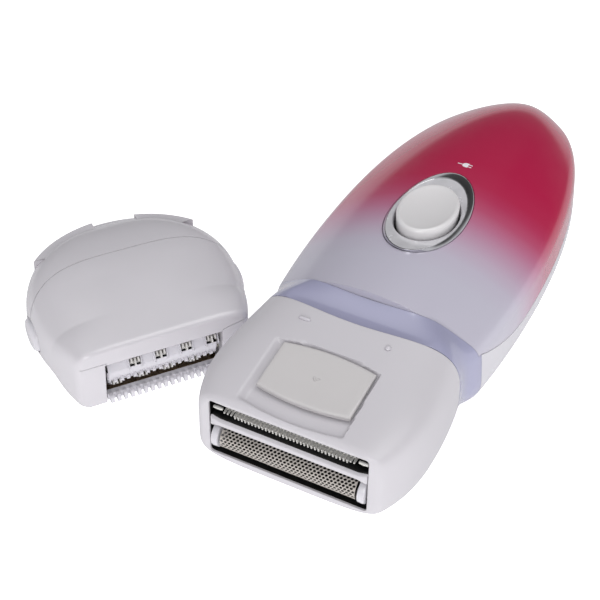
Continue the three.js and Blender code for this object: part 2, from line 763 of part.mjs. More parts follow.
function epiTop(y) {
  const along = Math.max(y, 0);
  return EPI.frontTopZ + EPI.slope * along + 1.2 * Math.sin((Math.PI * Math.min(along, 40)) / 40);
}

function epiRing(y, inset) {
  const half = Math.max(epiHalf(y) - inset, 1.5);
  const k = y > EPI.widestY ? Math.min(1, (half / (EPI.half - inset)) ** 0.45) : 1;
  const top = EPI.midZ + (epiTop(y) - inset - EPI.midZ) * k;
  const keel = EPI.midZ - (EPI.midZ - inset) * Math.max(k, 0.6);
  const sharp = Math.max(0, 1 - Math.max(y, 0) / 9);
  const upper = 3.8 + 3.4 * sharp;
  const lower = 3.4 - 0.9 * Math.min(1, Math.max(0, y / 12)) + 3 * sharp;
  const flat = squareRing(y, half, EPI.midZ, top, keel - 1.2, upper, lower);
  const fade = Math.max(0, 1 - Math.max(y, 0) / 20);
  return flat.map(([x, yy, z]) => [x, yy - EPI.lean * Math.max(z, inset) * fade, Math.max(z, inset)]);
}

function epiSolid(frontY, rearY, inset, count) {
  const fore = [frontY, ...steps(frontY + 0.6, 20, Math.ceil(count / 2))];
  const aft = steps(0, 1, count).slice(1).map((t) => 20 + (rearY - 20) * Math.sin((t * Math.PI) / 2));
  return loft(fore.concat(aft).map((y) => epiRing(y, y === frontY ? inset + 0.9 : inset)));
}

function epiSeam(x) {
  return EPI.seamY - EPI.seamArc * (x / 25) ** 4;
}

function epiFrame() {
  const w = EPI_WINDOW;
  const inner = epiSolid(2.2, EPI.rearY - 2.4, EPI.wall, 4);
  return epiSolid(0, EPI.rearY - 0.4, 0, 8)
    .subtract(inner)
    .subtract(beyondLine(epiSeam, -0.15, 60))
    .subtract(box(-w.half, w.half, -8, 5, -2, w.highZ))
    .subtract(epiButtonHole(1))
    .subtract(epiButtonHole(-1));
}

function epiButtonHole(side) {
  const r = RELEASE;
  const bore = cylinder('x', r.r + GAP, 20, 32, 0, r.z);
  return onSide(bore.scale([1, r.stretch, 1]).translate([0, r.y, 0]), side);
}

function epiBase() {
  return epiSolid(0, EPI.rearY - 0.4, 0, 8)
    .add(epiRim())
    .subtract(epiSolid(2.2, EPI.rearY - EPI.innerInset, EPI.innerInset, 4))
    .intersect(beyondLine(epiSeam, 0.15, 60))
    .subtract(box(-9, 9, 30, 50, 5, 16))
    .subtract(epiButtonHole(1))
    .subtract(epiButtonHole(-1))
    .add(epiBridge());
}

// Rim of the coupling, standing up behind the dome, with a wide notch in its top.
function epiRim() {
  const r = EPI_RIM;
  const from = Math.asin((r.fromY - r.y) / r.halfY);
  const outline = steps(from, Math.PI - from, 24)
    .map((a) => [r.halfX * Math.cos(a), r.y + r.halfY * Math.sin(a)]);
  return prismZ(outline, r.lowZ, r.topZ).subtract(box(-3.2, 8, 38.5, 50, r.notchZ, 30));
}

// Cross wall inside the base that carries the drum brackets.
function epiBridge() {
  return box(-22.6, 22.6, 26.6, 28.6, 4, 20).subtract(cylinder('y', 3.4, 20, 30, 0, 12, 24));
}

function skinComb() {
  const bar = box(-14.6, 14.6, 0.2, 4, 1.2, 3);
  const teeth = steps(-13.8, 13.8, 16).map((x) => box(x - 0.4, x + 0.4, -1.3, 0.9, 1.2, 3));
  return union(bar, ...teeth);
}

function drumBarrel() {
  const d = DRUM;
  const groove = (angle) => radialSlab(angle, -d.half - 1, d.half + 1, 2.2, d.r + 1, -1.3, 1.3);
  return cylinder('x', d.r, -d.half, d.half, d.y, d.z, 36)
    .subtract(groove(ROW.upper.angle))
    .subtract(groove(ROW.lower.angle))
    .add(cylinder('x', 1.2, -d.half - 2.6, d.half + 6.2, d.y, d.z, 16));
}

// A radial slab about the drum axis: from radius r0 to r1, from w0 to w1 across, from x0 to x1 along.
function radialSlab(angle, x0, x1, r0, r1, w0, w1) {
  const c = Math.cos(angle);
  const s = Math.sin(angle);
  const at = (r, w) => [DRUM.y + r * c - w * s, DRUM.z + r * s + w * c];
  return prismX([at(r0, w0), at(r1, w0), at(r1, w1), at(r0, w1)], x0, x1);
}

function stackPlaces(phase) {
  return steps(-1.5, 1.5, 3).map((i) => phase + DRUM.pitch * i);
}

// Fixed tweezer plates, two to a stack, standing on one bar at the bottom of the groove.
function tweezerRow(angle, phase) {
  const bar = radialSlab(angle, -DRUM.half + 0.4, DRUM.half - 0.3, 2.5, 3.1, -1, 0.2);
  const plates = stackPlaces(phase).flatMap((x) => [x - 0.9, x + 0.9])
    .map((x) => radialSlab(angle, x - 0.2, x + 0.2, 2.5, DRUM.discR, -1, 0.2));
  return union(bar, ...plates);
}

// Moving plates, one between each fixed pair, on a bar that slides beside them.
function pinchRow(angle, phase) {
  const bar = radialSlab(angle, -DRUM.half + 1.2, DRUM.half - 1.2, 3.3, 4.2, 0.45, 1);
  const plates = stackPlaces(phase)
    .map((x) => radialSlab(angle, x - 0.2, x + 0.2, 3.3, DRUM.discR, -0.9, 1));
  return union(bar, ...plates);
}

function drumBush(side) {
  const x0 = side > 0 ? DRUM.half + 0.4 : -DRUM.half - 2.4;
  return box(x0, x0 + 2, DRUM.y - 3, 26.2, DRUM.z - 3, DRUM.z + 3)
    .subtract(cylinder('x', 1.5, x0 - 1, x0 + 3, DRUM.y, DRUM.z, 20));
}

function drumGear() {
  const g = EPI_GEAR;
  return spurGear('x', g.teeth, g.module, g.x, g.x + g.thick, DRUM.y, DRUM.z, 0)
    .subtract(cylinder('x', 1.5, g.x - 5, g.x + 5, DRUM.y, DRUM.z, 16));
}

function idlerGear() {
  const g = EPI_GEAR;
  const y = DRUM.y + g.spacing;
  const wheel = spurGear('x', g.teeth, g.module, g.x, g.x + g.thick, y, DRUM.z, Math.PI / g.teeth);
  return wheel.add(cylinder('x', 1, g.x - 0.2, g.x + g.thick + 0.2, y, DRUM.z, 12));
}

function releaseButton(side) {
  const b = RELEASE;
  const x = b.outX;
  const profile = [
    [0, b.flangeX], [b.r + 0.6, b.flangeX], [b.r + 0.6, b.flangeX + 0.8], [b.r, b.flangeX + 1],
    [b.r, x - 1.6], [b.r - 0.8, x - 0.6], [1.6, x - 0.1], [0, x],
  ];
  const geometry = new THREE.LatheGeometry(profile.map((p) => new THREE.Vector2(p[0], p[1])), 18);
  geometry.rotateZ(-Math.PI / 2);
  geometry.scale(1, b.stretch, 1);
  geometry.translate(0, b.y, b.z);
  return onSide(toSolid(geometry), side);
}

// ---------- assembly ----------
function addHandset(group) {
  const shell = handsetShell();
  piece(group, 'front_cover', frontCover(shell), coverPaint());
  piece(group, 'back_cover', backCover(shell), whiteShell());
  piece(group, 'neck_collar', neckCollar(), lavender());
  piece(group, 'switch_bezel', switchBezel(), chrome());
  piece(group, 'power_button', powerButton(), whiteShell());
  piece(group, 'button_seal', buttonSeal(), rubber());
  piece(group, 'chassis', chassis(), darkPlastic());
  piece(group, 'main_board', mainBoard(), greenBoard());
  piece(group, 'tact_switch', tactSwitch(), darkPlastic());
  piece(group, 'charge_led', box(-1, 1, 29, 31, 27.3, 28.2), whiteShell());
  piece(group, 'battery_cell', batteryCell(), steel());
  piece(group, 'contact_front', contactStrip(CELL.frontY - 1), brass());
  piece(group, 'contact_rear', contactStrip(CELL.rearY + 0.4), brass());
  piece(group, 'motor_can', motorCan(), steel());
  piece(group, 'motor_pinion', motorPinion(), brass());
  piece(group, 'output_gear', outputGear(), naturalPlastic());
  piece(group, 'output_bush', outputBush(), brass());
  piece(group, 'neck_seal', neckSeal(), rubber());
  piece(group, 'charge_socket', chargeSocket(), darkPlastic());
  piece(group, 'socket_pin', socketPin(), brass());
  screwPlaces().forEach(([x, y], i) => piece(group, `board_screw_${i + 1}`, boardScrew(x, y), steel()));
}

function addShaverHead(group) {
  piece(group, 'shaver_housing', shaverHousing(), satinGrey());
  piece(group, 'shaver_base', shaverBase(), whiteShell());
  piece(group, 'shaver_crossbar', crossbar(), satinGrey());
  piece(group, 'shaver_foil', shaverFoil(), steel());
  piece(group, 'foil_cap_right', foilCap(1), whiteShell());
  piece(group, 'foil_cap_left', foilCap(-1), whiteShell());
  piece(group, 'inner_cutter', innerCutter(), steel());
  piece(group, 'oscillator', oscillator(), naturalPlastic());
  piece(group, 'trimmer_slider', trimmerSlider(), satinGrey());
  piece(group, 'trimmer_carrier', trimmerCarrier(), darkPlastic());
  piece(group, 'trimmer_comb', trimmerComb(), steel());
  piece(group, 'trimmer_blade', trimmerBlade(), steel());
}

function addEpilationHead(group) {
  piece(group, 'epi_frame', epiFrame(), whiteShell());
  piece(group, 'epi_base', epiBase(), whiteShell());
  piece(group, 'skin_comb', skinComb(), whiteShell());
  piece(group, 'tweezer_drum', drumBarrel(), whiteShell());
  for (const [name, row] of Object.entries(ROW)) {
    piece(group, `tweezer_row_${name}`, tweezerRow(row.angle, row.phase), steel());
    piece(group, `pinch_row_${name}`, pinchRow(row.angle, row.phase), steel());
  }
  piece(group, 'drum_bracket_right', drumBush(1), naturalPlastic());
  piece(group, 'drum_bracket_left', drumBush(-1), naturalPlastic());
  piece(group, 'drum_gear', drumGear(), naturalPlastic());
  piece(group, 'idler_gear', idlerGear(), naturalPlastic());
  piece(group, 'release_button_right', releaseButton(1), whiteShell());
  piece(group, 'release_button_left', releaseButton(-1), whiteShell());
}

const epilator = new THREE.Group();
addHandset(epilator);
addShaverHead(epilator);
const looseHead = new THREE.Group();
looseHead.position.set(EPI.x, EPI.y, 0);
looseHead.rotation.z = (EPI.yaw * Math.PI) / 180;
addEpilationHead(looseHead);
epilator.add(looseHead);

export default epilator;
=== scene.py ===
import json
import math

import bmesh
import bpy
import numpy as np
from mathutils import Matrix, Vector


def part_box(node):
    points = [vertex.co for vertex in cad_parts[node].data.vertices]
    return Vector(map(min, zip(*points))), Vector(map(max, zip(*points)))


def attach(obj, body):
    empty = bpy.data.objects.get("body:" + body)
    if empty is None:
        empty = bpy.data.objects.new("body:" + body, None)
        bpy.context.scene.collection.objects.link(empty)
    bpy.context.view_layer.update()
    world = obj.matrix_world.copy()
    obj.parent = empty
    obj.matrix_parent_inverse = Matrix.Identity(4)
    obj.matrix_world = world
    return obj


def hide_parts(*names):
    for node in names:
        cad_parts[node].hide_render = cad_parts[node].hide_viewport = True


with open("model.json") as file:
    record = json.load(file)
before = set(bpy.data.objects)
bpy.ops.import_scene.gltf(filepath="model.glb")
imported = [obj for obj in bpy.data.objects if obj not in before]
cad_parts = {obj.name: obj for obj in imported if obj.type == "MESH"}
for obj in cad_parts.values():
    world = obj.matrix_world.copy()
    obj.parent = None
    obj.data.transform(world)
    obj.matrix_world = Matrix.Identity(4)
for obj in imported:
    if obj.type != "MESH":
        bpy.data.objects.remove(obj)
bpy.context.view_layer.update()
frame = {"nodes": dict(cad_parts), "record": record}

# Everything below is in millimetres in the CAD frame until new_object() turns it into metres.
MM = 0.001
RECORD = frame["record"]
SLOTS = {part["node"]: part["material_slot"] for part in RECORD["subparts"]}


def box_mm(node):
    low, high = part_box(node)
    return np.array(low) / MM, np.array(high) / MM


# ---------- dimensions, read from the frame where it states them ----------
BUTTON_LOW, BUTTON_HIGH = box_mm("power_button")
HALF = box_mm("back_cover")[1][0]
HEAD_HALF = box_mm("shaver_housing")[1][0]

WALL = 2.0
CREST_Z = 34.92
NECK_HALF = 25.9
WIDEST_Y = 8.0
NECK_Y = -31.0
TAIL_Y = 85.0
CROWN_Z = 34.3
MID_Z = 11.6
CREASE_Z = 22.5
COLLAR_Y = -20.0
VALLEY_Z = 30.2

HEAD_WIDEST = -46.0
HEAD_FACE_Y = -66.8
HEAD_LENGTH = NECK_Y - HEAD_FACE_Y
HEAD_MID_Z = 14.0
HEAD_SLOPE = 0.14
HEAD_TOP_Z = 29.5
HEAD_TOP_AT = -50.0
HEAD_WALL = 2.6
OPEN_HALF, OPEN_LOW, OPEN_HIGH = 19.6, 9.8, 25.8

EPI_YAW = math.radians(51.8)
EPI_X, EPI_Y = -45.0, -46.0
EPI_HALF, EPI_FRONT_HALF, EPI_WIDEST, EPI_REAR = 27.0, 21.6, 20.0, 44.5
EPI_MID_Z, EPI_LEAN = 10.0, 0.13
RELEASE_Y, RELEASE_Z, RELEASE_STRETCH = 19, 11.5, 1.25
DRUM_Y, DRUM_Z, DRUM_R, DRUM_HALF = 4.9, 9.3, 5, 14.2
STACK_PITCH, STACKS = 6.6, 4

FOIL_Y, FOIL_Z, FOIL_R = -64.2, 14.2, 3.1
SHAFT_Z = 22
SOCKET_Z = 15.2


# ---------- mesh helpers ----------
def new_object(name, verts, faces):
    mesh = bpy.data.meshes.new(name)
    mesh.from_pydata((np.asarray(verts, float) * MM).tolist(), [], [list(map(int, f)) for f in faces])
    mesh.update()
    obj = bpy.data.objects.new(name, mesh)
    bpy.context.scene.collection.objects.link(obj)
    return obj


def outward(obj):
    bm = bmesh.new()
    bm.from_mesh(obj.data)
    bmesh.ops.recalc_face_normals(bm, faces=bm.faces)
    bm.to_mesh(obj.data)
    bm.free()
    return obj


def grid_faces(rows, cols, wrap, start=0):
    i, j = np.meshgrid(np.arange(rows - 1), np.arange(cols if wrap else cols - 1), indexing="ij")
    k = (j + 1) % cols
    a = start + i * cols
    b = a + cols
    return np.stack([a + j, a + k, b + k, b + j], -1).reshape(-1, 4).tolist()


def loft(name, rings, caps=True):
    """A skin through rings of equal length; capped flat at both ends."""
    rings = [np.asarray(r, float) for r in rings]
    cols = len(rings[0])
    verts = np.concatenate(rings)
    faces = grid_faces(len(rings), cols, True)
    if caps:
        first, last = len(verts), len(verts) + 1
        verts = np.concatenate([verts, [rings[0].mean(0)], [rings[-1].mean(0)]])
        base = (len(rings) - 1) * cols
        for j in range(cols):
            k = (j + 1) % cols
            faces.append([first, k, j])
            faces.append([last, base + j, base + k])
    return outward(new_object(name, verts, faces))


def prism(name, outline, low, high, axis="z"):
    """A closed plan outline raised along z, or a (y, z) outline swept along x."""
    flat = np.asarray(outline, float)
    n = len(flat)
    order = {"z": lambda a, h: np.column_stack([a, np.full(n, h)]),
             "x": lambda a, h: np.column_stack([np.full(n, h), a])}[axis]
    verts = np.concatenate([order(flat, low), order(flat, high)])
    faces = [list(range(n))[::-1], list(range(n, 2 * n))]
    faces += [[j, (j + 1) % n, n + (j + 1) % n, n + j] for j in range(n)]
    return outward(new_object(name, verts, faces))


def box(name, x0, x1, y0, y1, z0, z1):
    return prism(name, [(x0, y0), (x1, y0), (x1, y1), (x0, y1)], z0, z1)


def turned(name, profile, axis, sides=64):
    """Revolves (radius, along) pairs about x, y or z through the origin; both ends close on the axis."""
    a = np.linspace(0, 2 * math.pi, sides, endpoint=False)
    rings = []
    for r, h in profile:
        r = max(r, 1e-3)
        if axis == "z":
            ring = np.column_stack([r * np.cos(a), r * np.sin(a), np.full(sides, h)])
        elif axis == "y":
            ring = np.column_stack([r * np.sin(a), np.full(sides, h), r * np.cos(a)])
        else:
            ring = np.column_stack([np.full(sides, h), r * np.cos(a), r * np.sin(a)])
        rings.append(ring)
    return loft(name, rings)


def move(obj, x=0.0, y=0.0, z=0.0):
    obj.data.transform(Matrix.Translation((x * MM, y * MM, z * MM)))
    return obj


def apply_modifiers(obj):
    graph = bpy.context.evaluated_depsgraph_get()
    graph.update()
    mesh = bpy.data.meshes.new_from_object(obj.evaluated_get(graph))
    obj.modifiers.clear()
    obj.data = mesh


def boolean(obj, tool, how="DIFFERENCE"):
    mod = obj.modifiers.new("cut", "BOOLEAN")
    mod.operation = how
    mod.solver = "MANIFOLD"
    mod.object = tool
    apply_modifiers(obj)
    if len(obj.data.polygons) == 0:
        raise RuntimeError(f"cutting {obj.name} left nothing")
    bpy.data.objects.remove(tool)
    return obj


def cut(obj, *tools):
    for tool in tools:
        boolean(obj, tool)
    return obj


def clip(obj, *tools):
    for tool in tools:
        boolean(obj, tool, "INTERSECT")
    return obj


def join(name, parts):
    """Several meshes as one object, without joining their surfaces."""
    bm = bmesh.new()
    for part in parts:
        bm.from_mesh(part.data)
        bpy.data.objects.remove(part)
    mesh = bpy.data.meshes.new(name)
    bm.to_mesh(mesh)
    bm.free()
    obj = bpy.data.objects.new(name, mesh)
    bpy.context.scene.collection.objects.link(obj)
    return obj


def finish_piece(obj, material, body, nodes=(), angle=32):
    obj.data.materials.clear()
    obj.data.materials.append(material)
    obj.data.polygons.foreach_set("material_index", [0] * len(obj.data.polygons))
    obj.data.shade_smooth()
    obj.data.set_sharp_from_angle(angle=math.radians(angle))
    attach(obj, body)
    if nodes:
        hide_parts(*nodes)
    return obj


def power(v, e):
    return np.sign(v) * np.abs(v) ** e


def resample(points, count):
    """The same open line with evenly spaced points."""
    points = np.asarray(points, float)
    run = np.concatenate([[0], np.cumsum(np.linalg.norm(np.diff(points, axis=0), axis=1))])
    at = np.linspace(0, run[-1], count)
    return np.column_stack([np.interp(at, run, points[:, k]) for k in range(points.shape[1])])


# ---------- handset sections ----------
def body_half(y):
    if y <= WIDEST_Y:
        return HALF - (HALF - NECK_HALF) * ((WIDEST_Y - y) / (WIDEST_Y - NECK_Y)) ** 2
    t = (y - WIDEST_Y) / (TAIL_Y - WIDEST_Y)
    return HALF * math.sqrt(max(0.0, 1 - t**2.24))


def body_crown(y):
    t = (y - 5) / 60
    return CROWN_Z - (2.36 if t > 0 else 1.54) * t * t


def body_keel(y):
    if y > 5:
        return 8 * ((y - 5) / 60) ** 2
    if y < -8:
        return 3 * ((-8 - y) / 23) ** 2
    return 0.0


def body_levels(y, inset):
    half = max(body_half(y) - inset, 0.6)
    k = min(1.0, math.sqrt(half / (HALF - inset)) * 1.001) if y > WIDEST_Y else 1.0
    crown = MID_Z + (body_crown(y) - inset - MID_Z) * k
    crease = MID_Z + (CREASE_Z - inset / 2 - MID_Z) * k
    keel = MID_Z - max(MID_Z - body_keel(y) - inset + 0.8, 1.0) * k
    return half, crown, crease, keel


def top_curve(half, mid_z, crease, crown, dense=1):
    lean, soft = 0.03 * half, 0.09 * half
    corner = half - lean
    rise = crease - mid_z

    def dome(x):
        return crease + (crown - crease) * (1 - (x / corner) ** 2)

    t = np.linspace(0, 0.75, 8 * dense, endpoint=False)
    wall = np.column_stack([half - lean * (0.6222 * t + 0.5926 * t * t), mid_z + t * rise])
    s = np.linspace(0, 1, 14 * dense)[:, None]
    ends = np.array([[corner + 0.2 * lean, crease - 0.25 * rise], [corner, crease],
                     [corner - soft, dome(corner - soft)]])
    bend = (1 - s) ** 2 * ends[0] + 2 * s * (1 - s) * ends[1] + s * s * ends[2]
    x = np.linspace(corner - soft, 0, 26 * dense)[1:]
    right = np.concatenate([wall, bend, np.column_stack([x, dome(x)])])
    return np.concatenate([right, right[:-1][::-1] * [-1, 1]])


def belly_curve(half, mid_z, keel, floor_z, count=64):
    a = np.linspace(math.pi, 2 * math.pi, count)[1:-1]
    x = half * power(np.cos(a), 2 / 2.3)
    z = mid_z - (mid_z - keel) * power(-np.sin(a), 2 / 2.3)
    return np.column_stack([x, np.maximum(z, floor_z)])


def body_ring(y, inset):
    half, crown, crease, keel = body_levels(y, inset)
    ring = np.concatenate([top_curve(half, MID_Z, crease, crown), belly_curve(half, MID_Z, keel, inset)])
    return np.column_stack([ring[:, 0], np.full(len(ring), y), ring[:, 1]])


def body_solid(name, front, inset, fore=26, aft=90):
    tail = TAIL_Y - 0.03 - inset
    ys = list(np.linspace(front, WIDEST_Y, fore))
    ys += [WIDEST_Y + (tail - WIDEST_Y) * math.sin(t * math.pi / 2) for t in np.linspace(0, 1, aft)[1:]]
    return loft(name, [body_ring(y, inset) for y in ys])


def dome_z(x, y):
    """Height of the cover's outside above a plan point on the dome."""
    half, crown, crease, _ = body_levels(y, 0)
    return crease + (crown - crease) * (1 - (x / (0.97 * half)) ** 2)


# ---------- head sections ----------
def head_half(y):
    if y > HEAD_WIDEST:
        return HEAD_HALF - 1.3 * ((y - HEAD_WIDEST) / 15) ** 2
    t = (HEAD_WIDEST - y) / (HEAD_WIDEST - HEAD_FACE_Y)
    return HEAD_HALF - 4.8 * t**2.4


def head_top(y):
    return HEAD_TOP_Z + HEAD_SLOPE * (y - HEAD_TOP_AT)


def head_keel(y):
    return 3 + 4.4 * max(0.0, (NECK_Y - y) / HEAD_LENGTH) ** 2


def square_ring(y, half, mid_z, top_z, keel_z, upper, lower, n_up=110, n_low=64):
    a = np.linspace(0, math.pi, 3001)
    c, s = np.cos(a), np.sin(a)
    top = np.column_stack([half * power(c, 2 / upper), mid_z + (top_z - mid_z) * power(s, 2 / upper)])
    low = np.column_stack([-half * power(c, 2 / lower), mid_z - (mid_z - keel_z) * power(s, 2 / lower)])
    ring = np.concatenate([resample(top, n_up), resample(low, n_low)[1:-1]])
    return np.column_stack([ring[:, 0], np.full(len(ring), y), ring[:, 1]])


def head_ring(y, inset, **counts):
    t = max(0.0, (NECK_Y - y) / HEAD_LENGTH)
    return square_ring(y, head_half(y) - inset, HEAD_MID_Z, head_top(y) - inset, head_keel(y) + inset,
                       3.4 + 5 * t * t, 2.6 + 1.8 * t * t, **counts)


def neck_line(x):
    return -30.3 - 4.4 * (1 - (x / 26) ** 2)


def cover_line(x):
    return -20 - 6 * (1 - (x / 29) ** 2)


def beyond(name, line, offset, far_y):
    x = np.linspace(-34, 34, 90)
    edge = np.column_stack([x, line(x) + offset])
    return prism(name, np.concatenate([edge, [[34, far_y], [-34, far_y]]]), -5, 45)


def parting_z(y):
    y = max(y, COLLAR_Y)
    if y < WIDEST_Y:
        return 14 + 7 * ((WIDEST_Y - y) / 28) ** 2
    return 14 + 3 * ((y - WIDEST_Y) / 77) ** 2


def beside_part(name, offset, far_z):
    y = np.linspace(-45, 95, 140)
    edge = np.column_stack([y, [parting_z(v) + offset for v in y]])
    return prism(name, np.concatenate([edge, [[95, far_z], [-45, far_z]]]), -40, 40, axis="x")


# ---------- procedural materials ----------
def hex_rgb(r, g, b):
    def lin(v):
        v = v / 255
        return v / 12.92 if v <= 0.04045 else ((v + 0.055) / 1.055) ** 2.4
    return (lin(r), lin(g), lin(b), 1)


class Nodes:
    """Short calls for building a node tree."""

    def __init__(self, tree):
        self.tree = tree
        self.coord = self.node("ShaderNodeTexCoord")

    def node(self, kind, **props):
        n = self.tree.nodes.new(kind)
        for key, value in props.items():
            setattr(n, key, value)
        return n

    def link(self, a, b):
        self.tree.links.new(a, b)

    def noise(self, scale, detail=2.0, rough=0.5, stretch=None):
        n = self.node("ShaderNodeTexNoise")
        n.inputs["Scale"].default_value = scale
        n.inputs["Detail"].default_value = detail
        n.inputs["Roughness"].default_value = rough
        source = self.coord.outputs["Object"]
        if stretch:
            mapping = self.node("ShaderNodeMapping")
            mapping.inputs["Scale"].default_value = stretch
            self.link(source, mapping.inputs["Vector"])
            source = mapping.outputs["Vector"]
        self.link(source, n.inputs["Vector"])
        return n.outputs["Fac"]

    def ramp(self, fac, stops):
        n = self.node("ShaderNodeValToRGB")
        while len(n.color_ramp.elements) < len(stops):
            n.color_ramp.elements.new(0.5)
        for element, (pos, color) in zip(n.color_ramp.elements, stops):
            element.position = pos
            element.color = color if len(color) == 4 else (*color, 1)
        self.link(fac, n.inputs["Fac"])
        return n.outputs["Color"]

    def remap(self, value, low, high, to_low, to_high):
        n = self.node("ShaderNodeMapRange")
        for key, v in zip(("From Min", "From Max", "To Min", "To Max"), (low, high, to_low, to_high)):
            n.inputs[key].default_value = v
        self.link(value, n.inputs["Value"])
        return n.outputs["Result"]

    def mix(self, fac, a, b):
        n = self.node("ShaderNodeMix", data_type="RGBA")
        for socket, value in ((n.inputs["Factor"], fac), (n.inputs[6], a), (n.inputs[7], b)):
            if isinstance(value, (int, float, tuple)):
                socket.default_value = value
            else:
                self.link(value, socket)
        return n.outputs[2]

    def within(self, low, high):
        """1 inside the box between two corners, in mm, and 0 outside it."""
        split = self.node("ShaderNodeSeparateXYZ")
        self.link(self.coord.outputs["Object"], split.inputs[0])
        product = None
        for axis, a, b in zip("XYZ", low, high):
            for limit, test in ((a, "GREATER_THAN"), (b, "LESS_THAN")):
                n = self.node("ShaderNodeMath", operation=test)
                self.link(split.outputs[axis], n.inputs[0])
                n.inputs[1].default_value = limit * MM
                if product is not None:
                    both = self.node("ShaderNodeMath", operation="MULTIPLY")
                    self.link(product, both.inputs[0])
                    self.link(n.outputs[0], both.inputs[1])
                    n = both
                product = n.outputs[0]
        return product


class Mat(Nodes):
    """A node material with a principled surface."""

    def __init__(self, name):
        self.mat = bpy.data.materials.new(name)
        self.mat.use_nodes = True
        super().__init__(self.mat.node_tree)
        self.bsdf = self.tree.nodes["Principled BSDF"]

    def set(self, **values):
        for key, value in values.items():
            self.bsdf.inputs[key.replace("_", " ")].default_value = value

    def base_color(self, color):
        self.link(color, self.bsdf.inputs["Base Color"])

    def roughness(self, noise, smoothest, roughest):
        self.link(self.remap(noise, 0.3, 0.7, smoothest, roughest), self.bsdf.inputs["Roughness"])

    def edges(self, radius, relief, strength, distance):
        """Slightly rounded edges, with a fine relief on top."""
        soft = self.node("ShaderNodeBevel", samples=4)
        soft.inputs["Radius"].default_value = radius * MM
        n = self.node("ShaderNodeBump")
        n.inputs["Strength"].default_value = strength
        n.inputs["Distance"].default_value = distance
        self.link(relief, n.inputs["Height"])
        self.link(soft.outputs["Normal"], n.inputs["Normal"])
        self.link(n.outputs["Normal"], self.bsdf.inputs["Normal"])


def plastic(name, rgb, rough, coat=0.0, grain=0.0, vary=0.02, sss=0.0, edge=0.25):
    m = Mat(name)
    base = hex_rgb(*rgb)
    dark = tuple(c * (1 - vary) for c in base[:3])
    light = tuple(min(1, c * (1 + vary)) for c in base[:3])
    m.base_color(m.ramp(m.noise(60, 3), [(0.3, dark), (0.7, light)]))
    m.roughness(m.noise(140, 4), rough * 0.9, rough * 1.1)
    m.set(Coat_Weight=coat, Coat_Roughness=0.05)
    if sss:
        m.set(Subsurface_Weight=sss, Subsurface_Radius=(0.6, 0.5, 0.5), Subsurface_Scale=0.0012)
    m.edges(edge, m.noise(2600, 2), 0.25 + grain, 0.00001)
    return m.mat


def metal(name, rgb, rough, stretch=(1, 1, 1), depth=0.15, edge=0.12, scale=900, metallic=1.0):
    m = Mat(name)
    base = hex_rgb(*rgb)
    streak = m.noise(scale, 3, 0.6, stretch)
    m.base_color(m.ramp(streak, [(0.3, tuple(c * 0.88 for c in base[:3])), (0.7, base[:3])]))
    m.roughness(streak, rough * 0.75, rough * 1.3)
    m.set(Metallic=metallic)
    m.edges(edge, streak, depth, 0.00002)
    return m.mat


def cover_material():
    """Gloss lacquer: raspberry at the tail, through mauve, to a pale lavender grey at the neck."""
    m = Mat("cover_lacquer")
    split = m.node("ShaderNodeSeparateXYZ")
    m.link(m.coord.outputs["Object"], split.inputs[0])
    slant = m.node("ShaderNodeMath", operation="MULTIPLY_ADD")
    m.link(split.outputs["X"], slant.inputs[0])
    slant.inputs[1].default_value = -0.13
    m.link(split.outputs["Y"], slant.inputs[2])
    cloud = m.remap(m.noise(25, 2), 0.3, 0.7, -0.0006, 0.0006)
    add = m.node("ShaderNodeMath", operation="ADD")
    m.link(slant.outputs[0], add.inputs[0])
    m.link(cloud, add.inputs[1])
    fade = m.remap(add.outputs[0], -0.012, 0.034, 0.0, 1.0)
    color = m.ramp(fade, [
        (0.0, hex_rgb(197, 194, 208)), (0.15, hex_rgb(196, 189, 205)), (0.26, hex_rgb(195, 174, 194)),
        (0.37, hex_rgb(193, 150, 175)), (0.48, hex_rgb(192, 118, 149)), (0.59, hex_rgb(190, 84, 118)),
        (0.7, hex_rgb(188, 58, 96)), (0.8, hex_rgb(187, 42, 82)), (1.0, hex_rgb(187, 32, 76)),
    ])
    m.base_color(color)
    m.roughness(m.noise(160, 3), 0.2, 0.26)
    m.set(Coat_Weight=0.9, Coat_Roughness=0.02, Coat_IOR=1.45)
    m.edges(0.35, m.noise(1800, 2), 0.05, 0.000004)
    return m.mat


def painted_shade_inside(name, front_y):
    """Satin shell outside; inside the head's opening, behind front_y, painted shade: the colour is painted
    nearly black there.
    """
    m = Mat(name)
    light, shade = hex_rgb(207, 204, 209), hex_rgb(12, 12, 13)
    low = (-OPEN_HALF - 0.1, front_y, OPEN_LOW - 0.1)
    high = (OPEN_HALF + 0.1, -55, OPEN_HIGH + 0.1)
    # inside is 1 within the head's opening; there the colour is painted shade, nearly black, not the
    # shell's own plastic
    inside = m.within(low, high)
    tone = m.ramp(m.noise(60, 3), [(0.3, tuple(c * 0.98 for c in light[:3])), (0.7, light[:3])])
    m.base_color(m.mix(inside, tone, shade))
    m.roughness(m.noise(140, 4), 0.34, 0.42)
    m.set(Coat_Weight=0.12, Coat_Roughness=0.1)
    m.edges(0.25, m.noise(2600, 2), 0.2, 0.00001)
    return m.mat


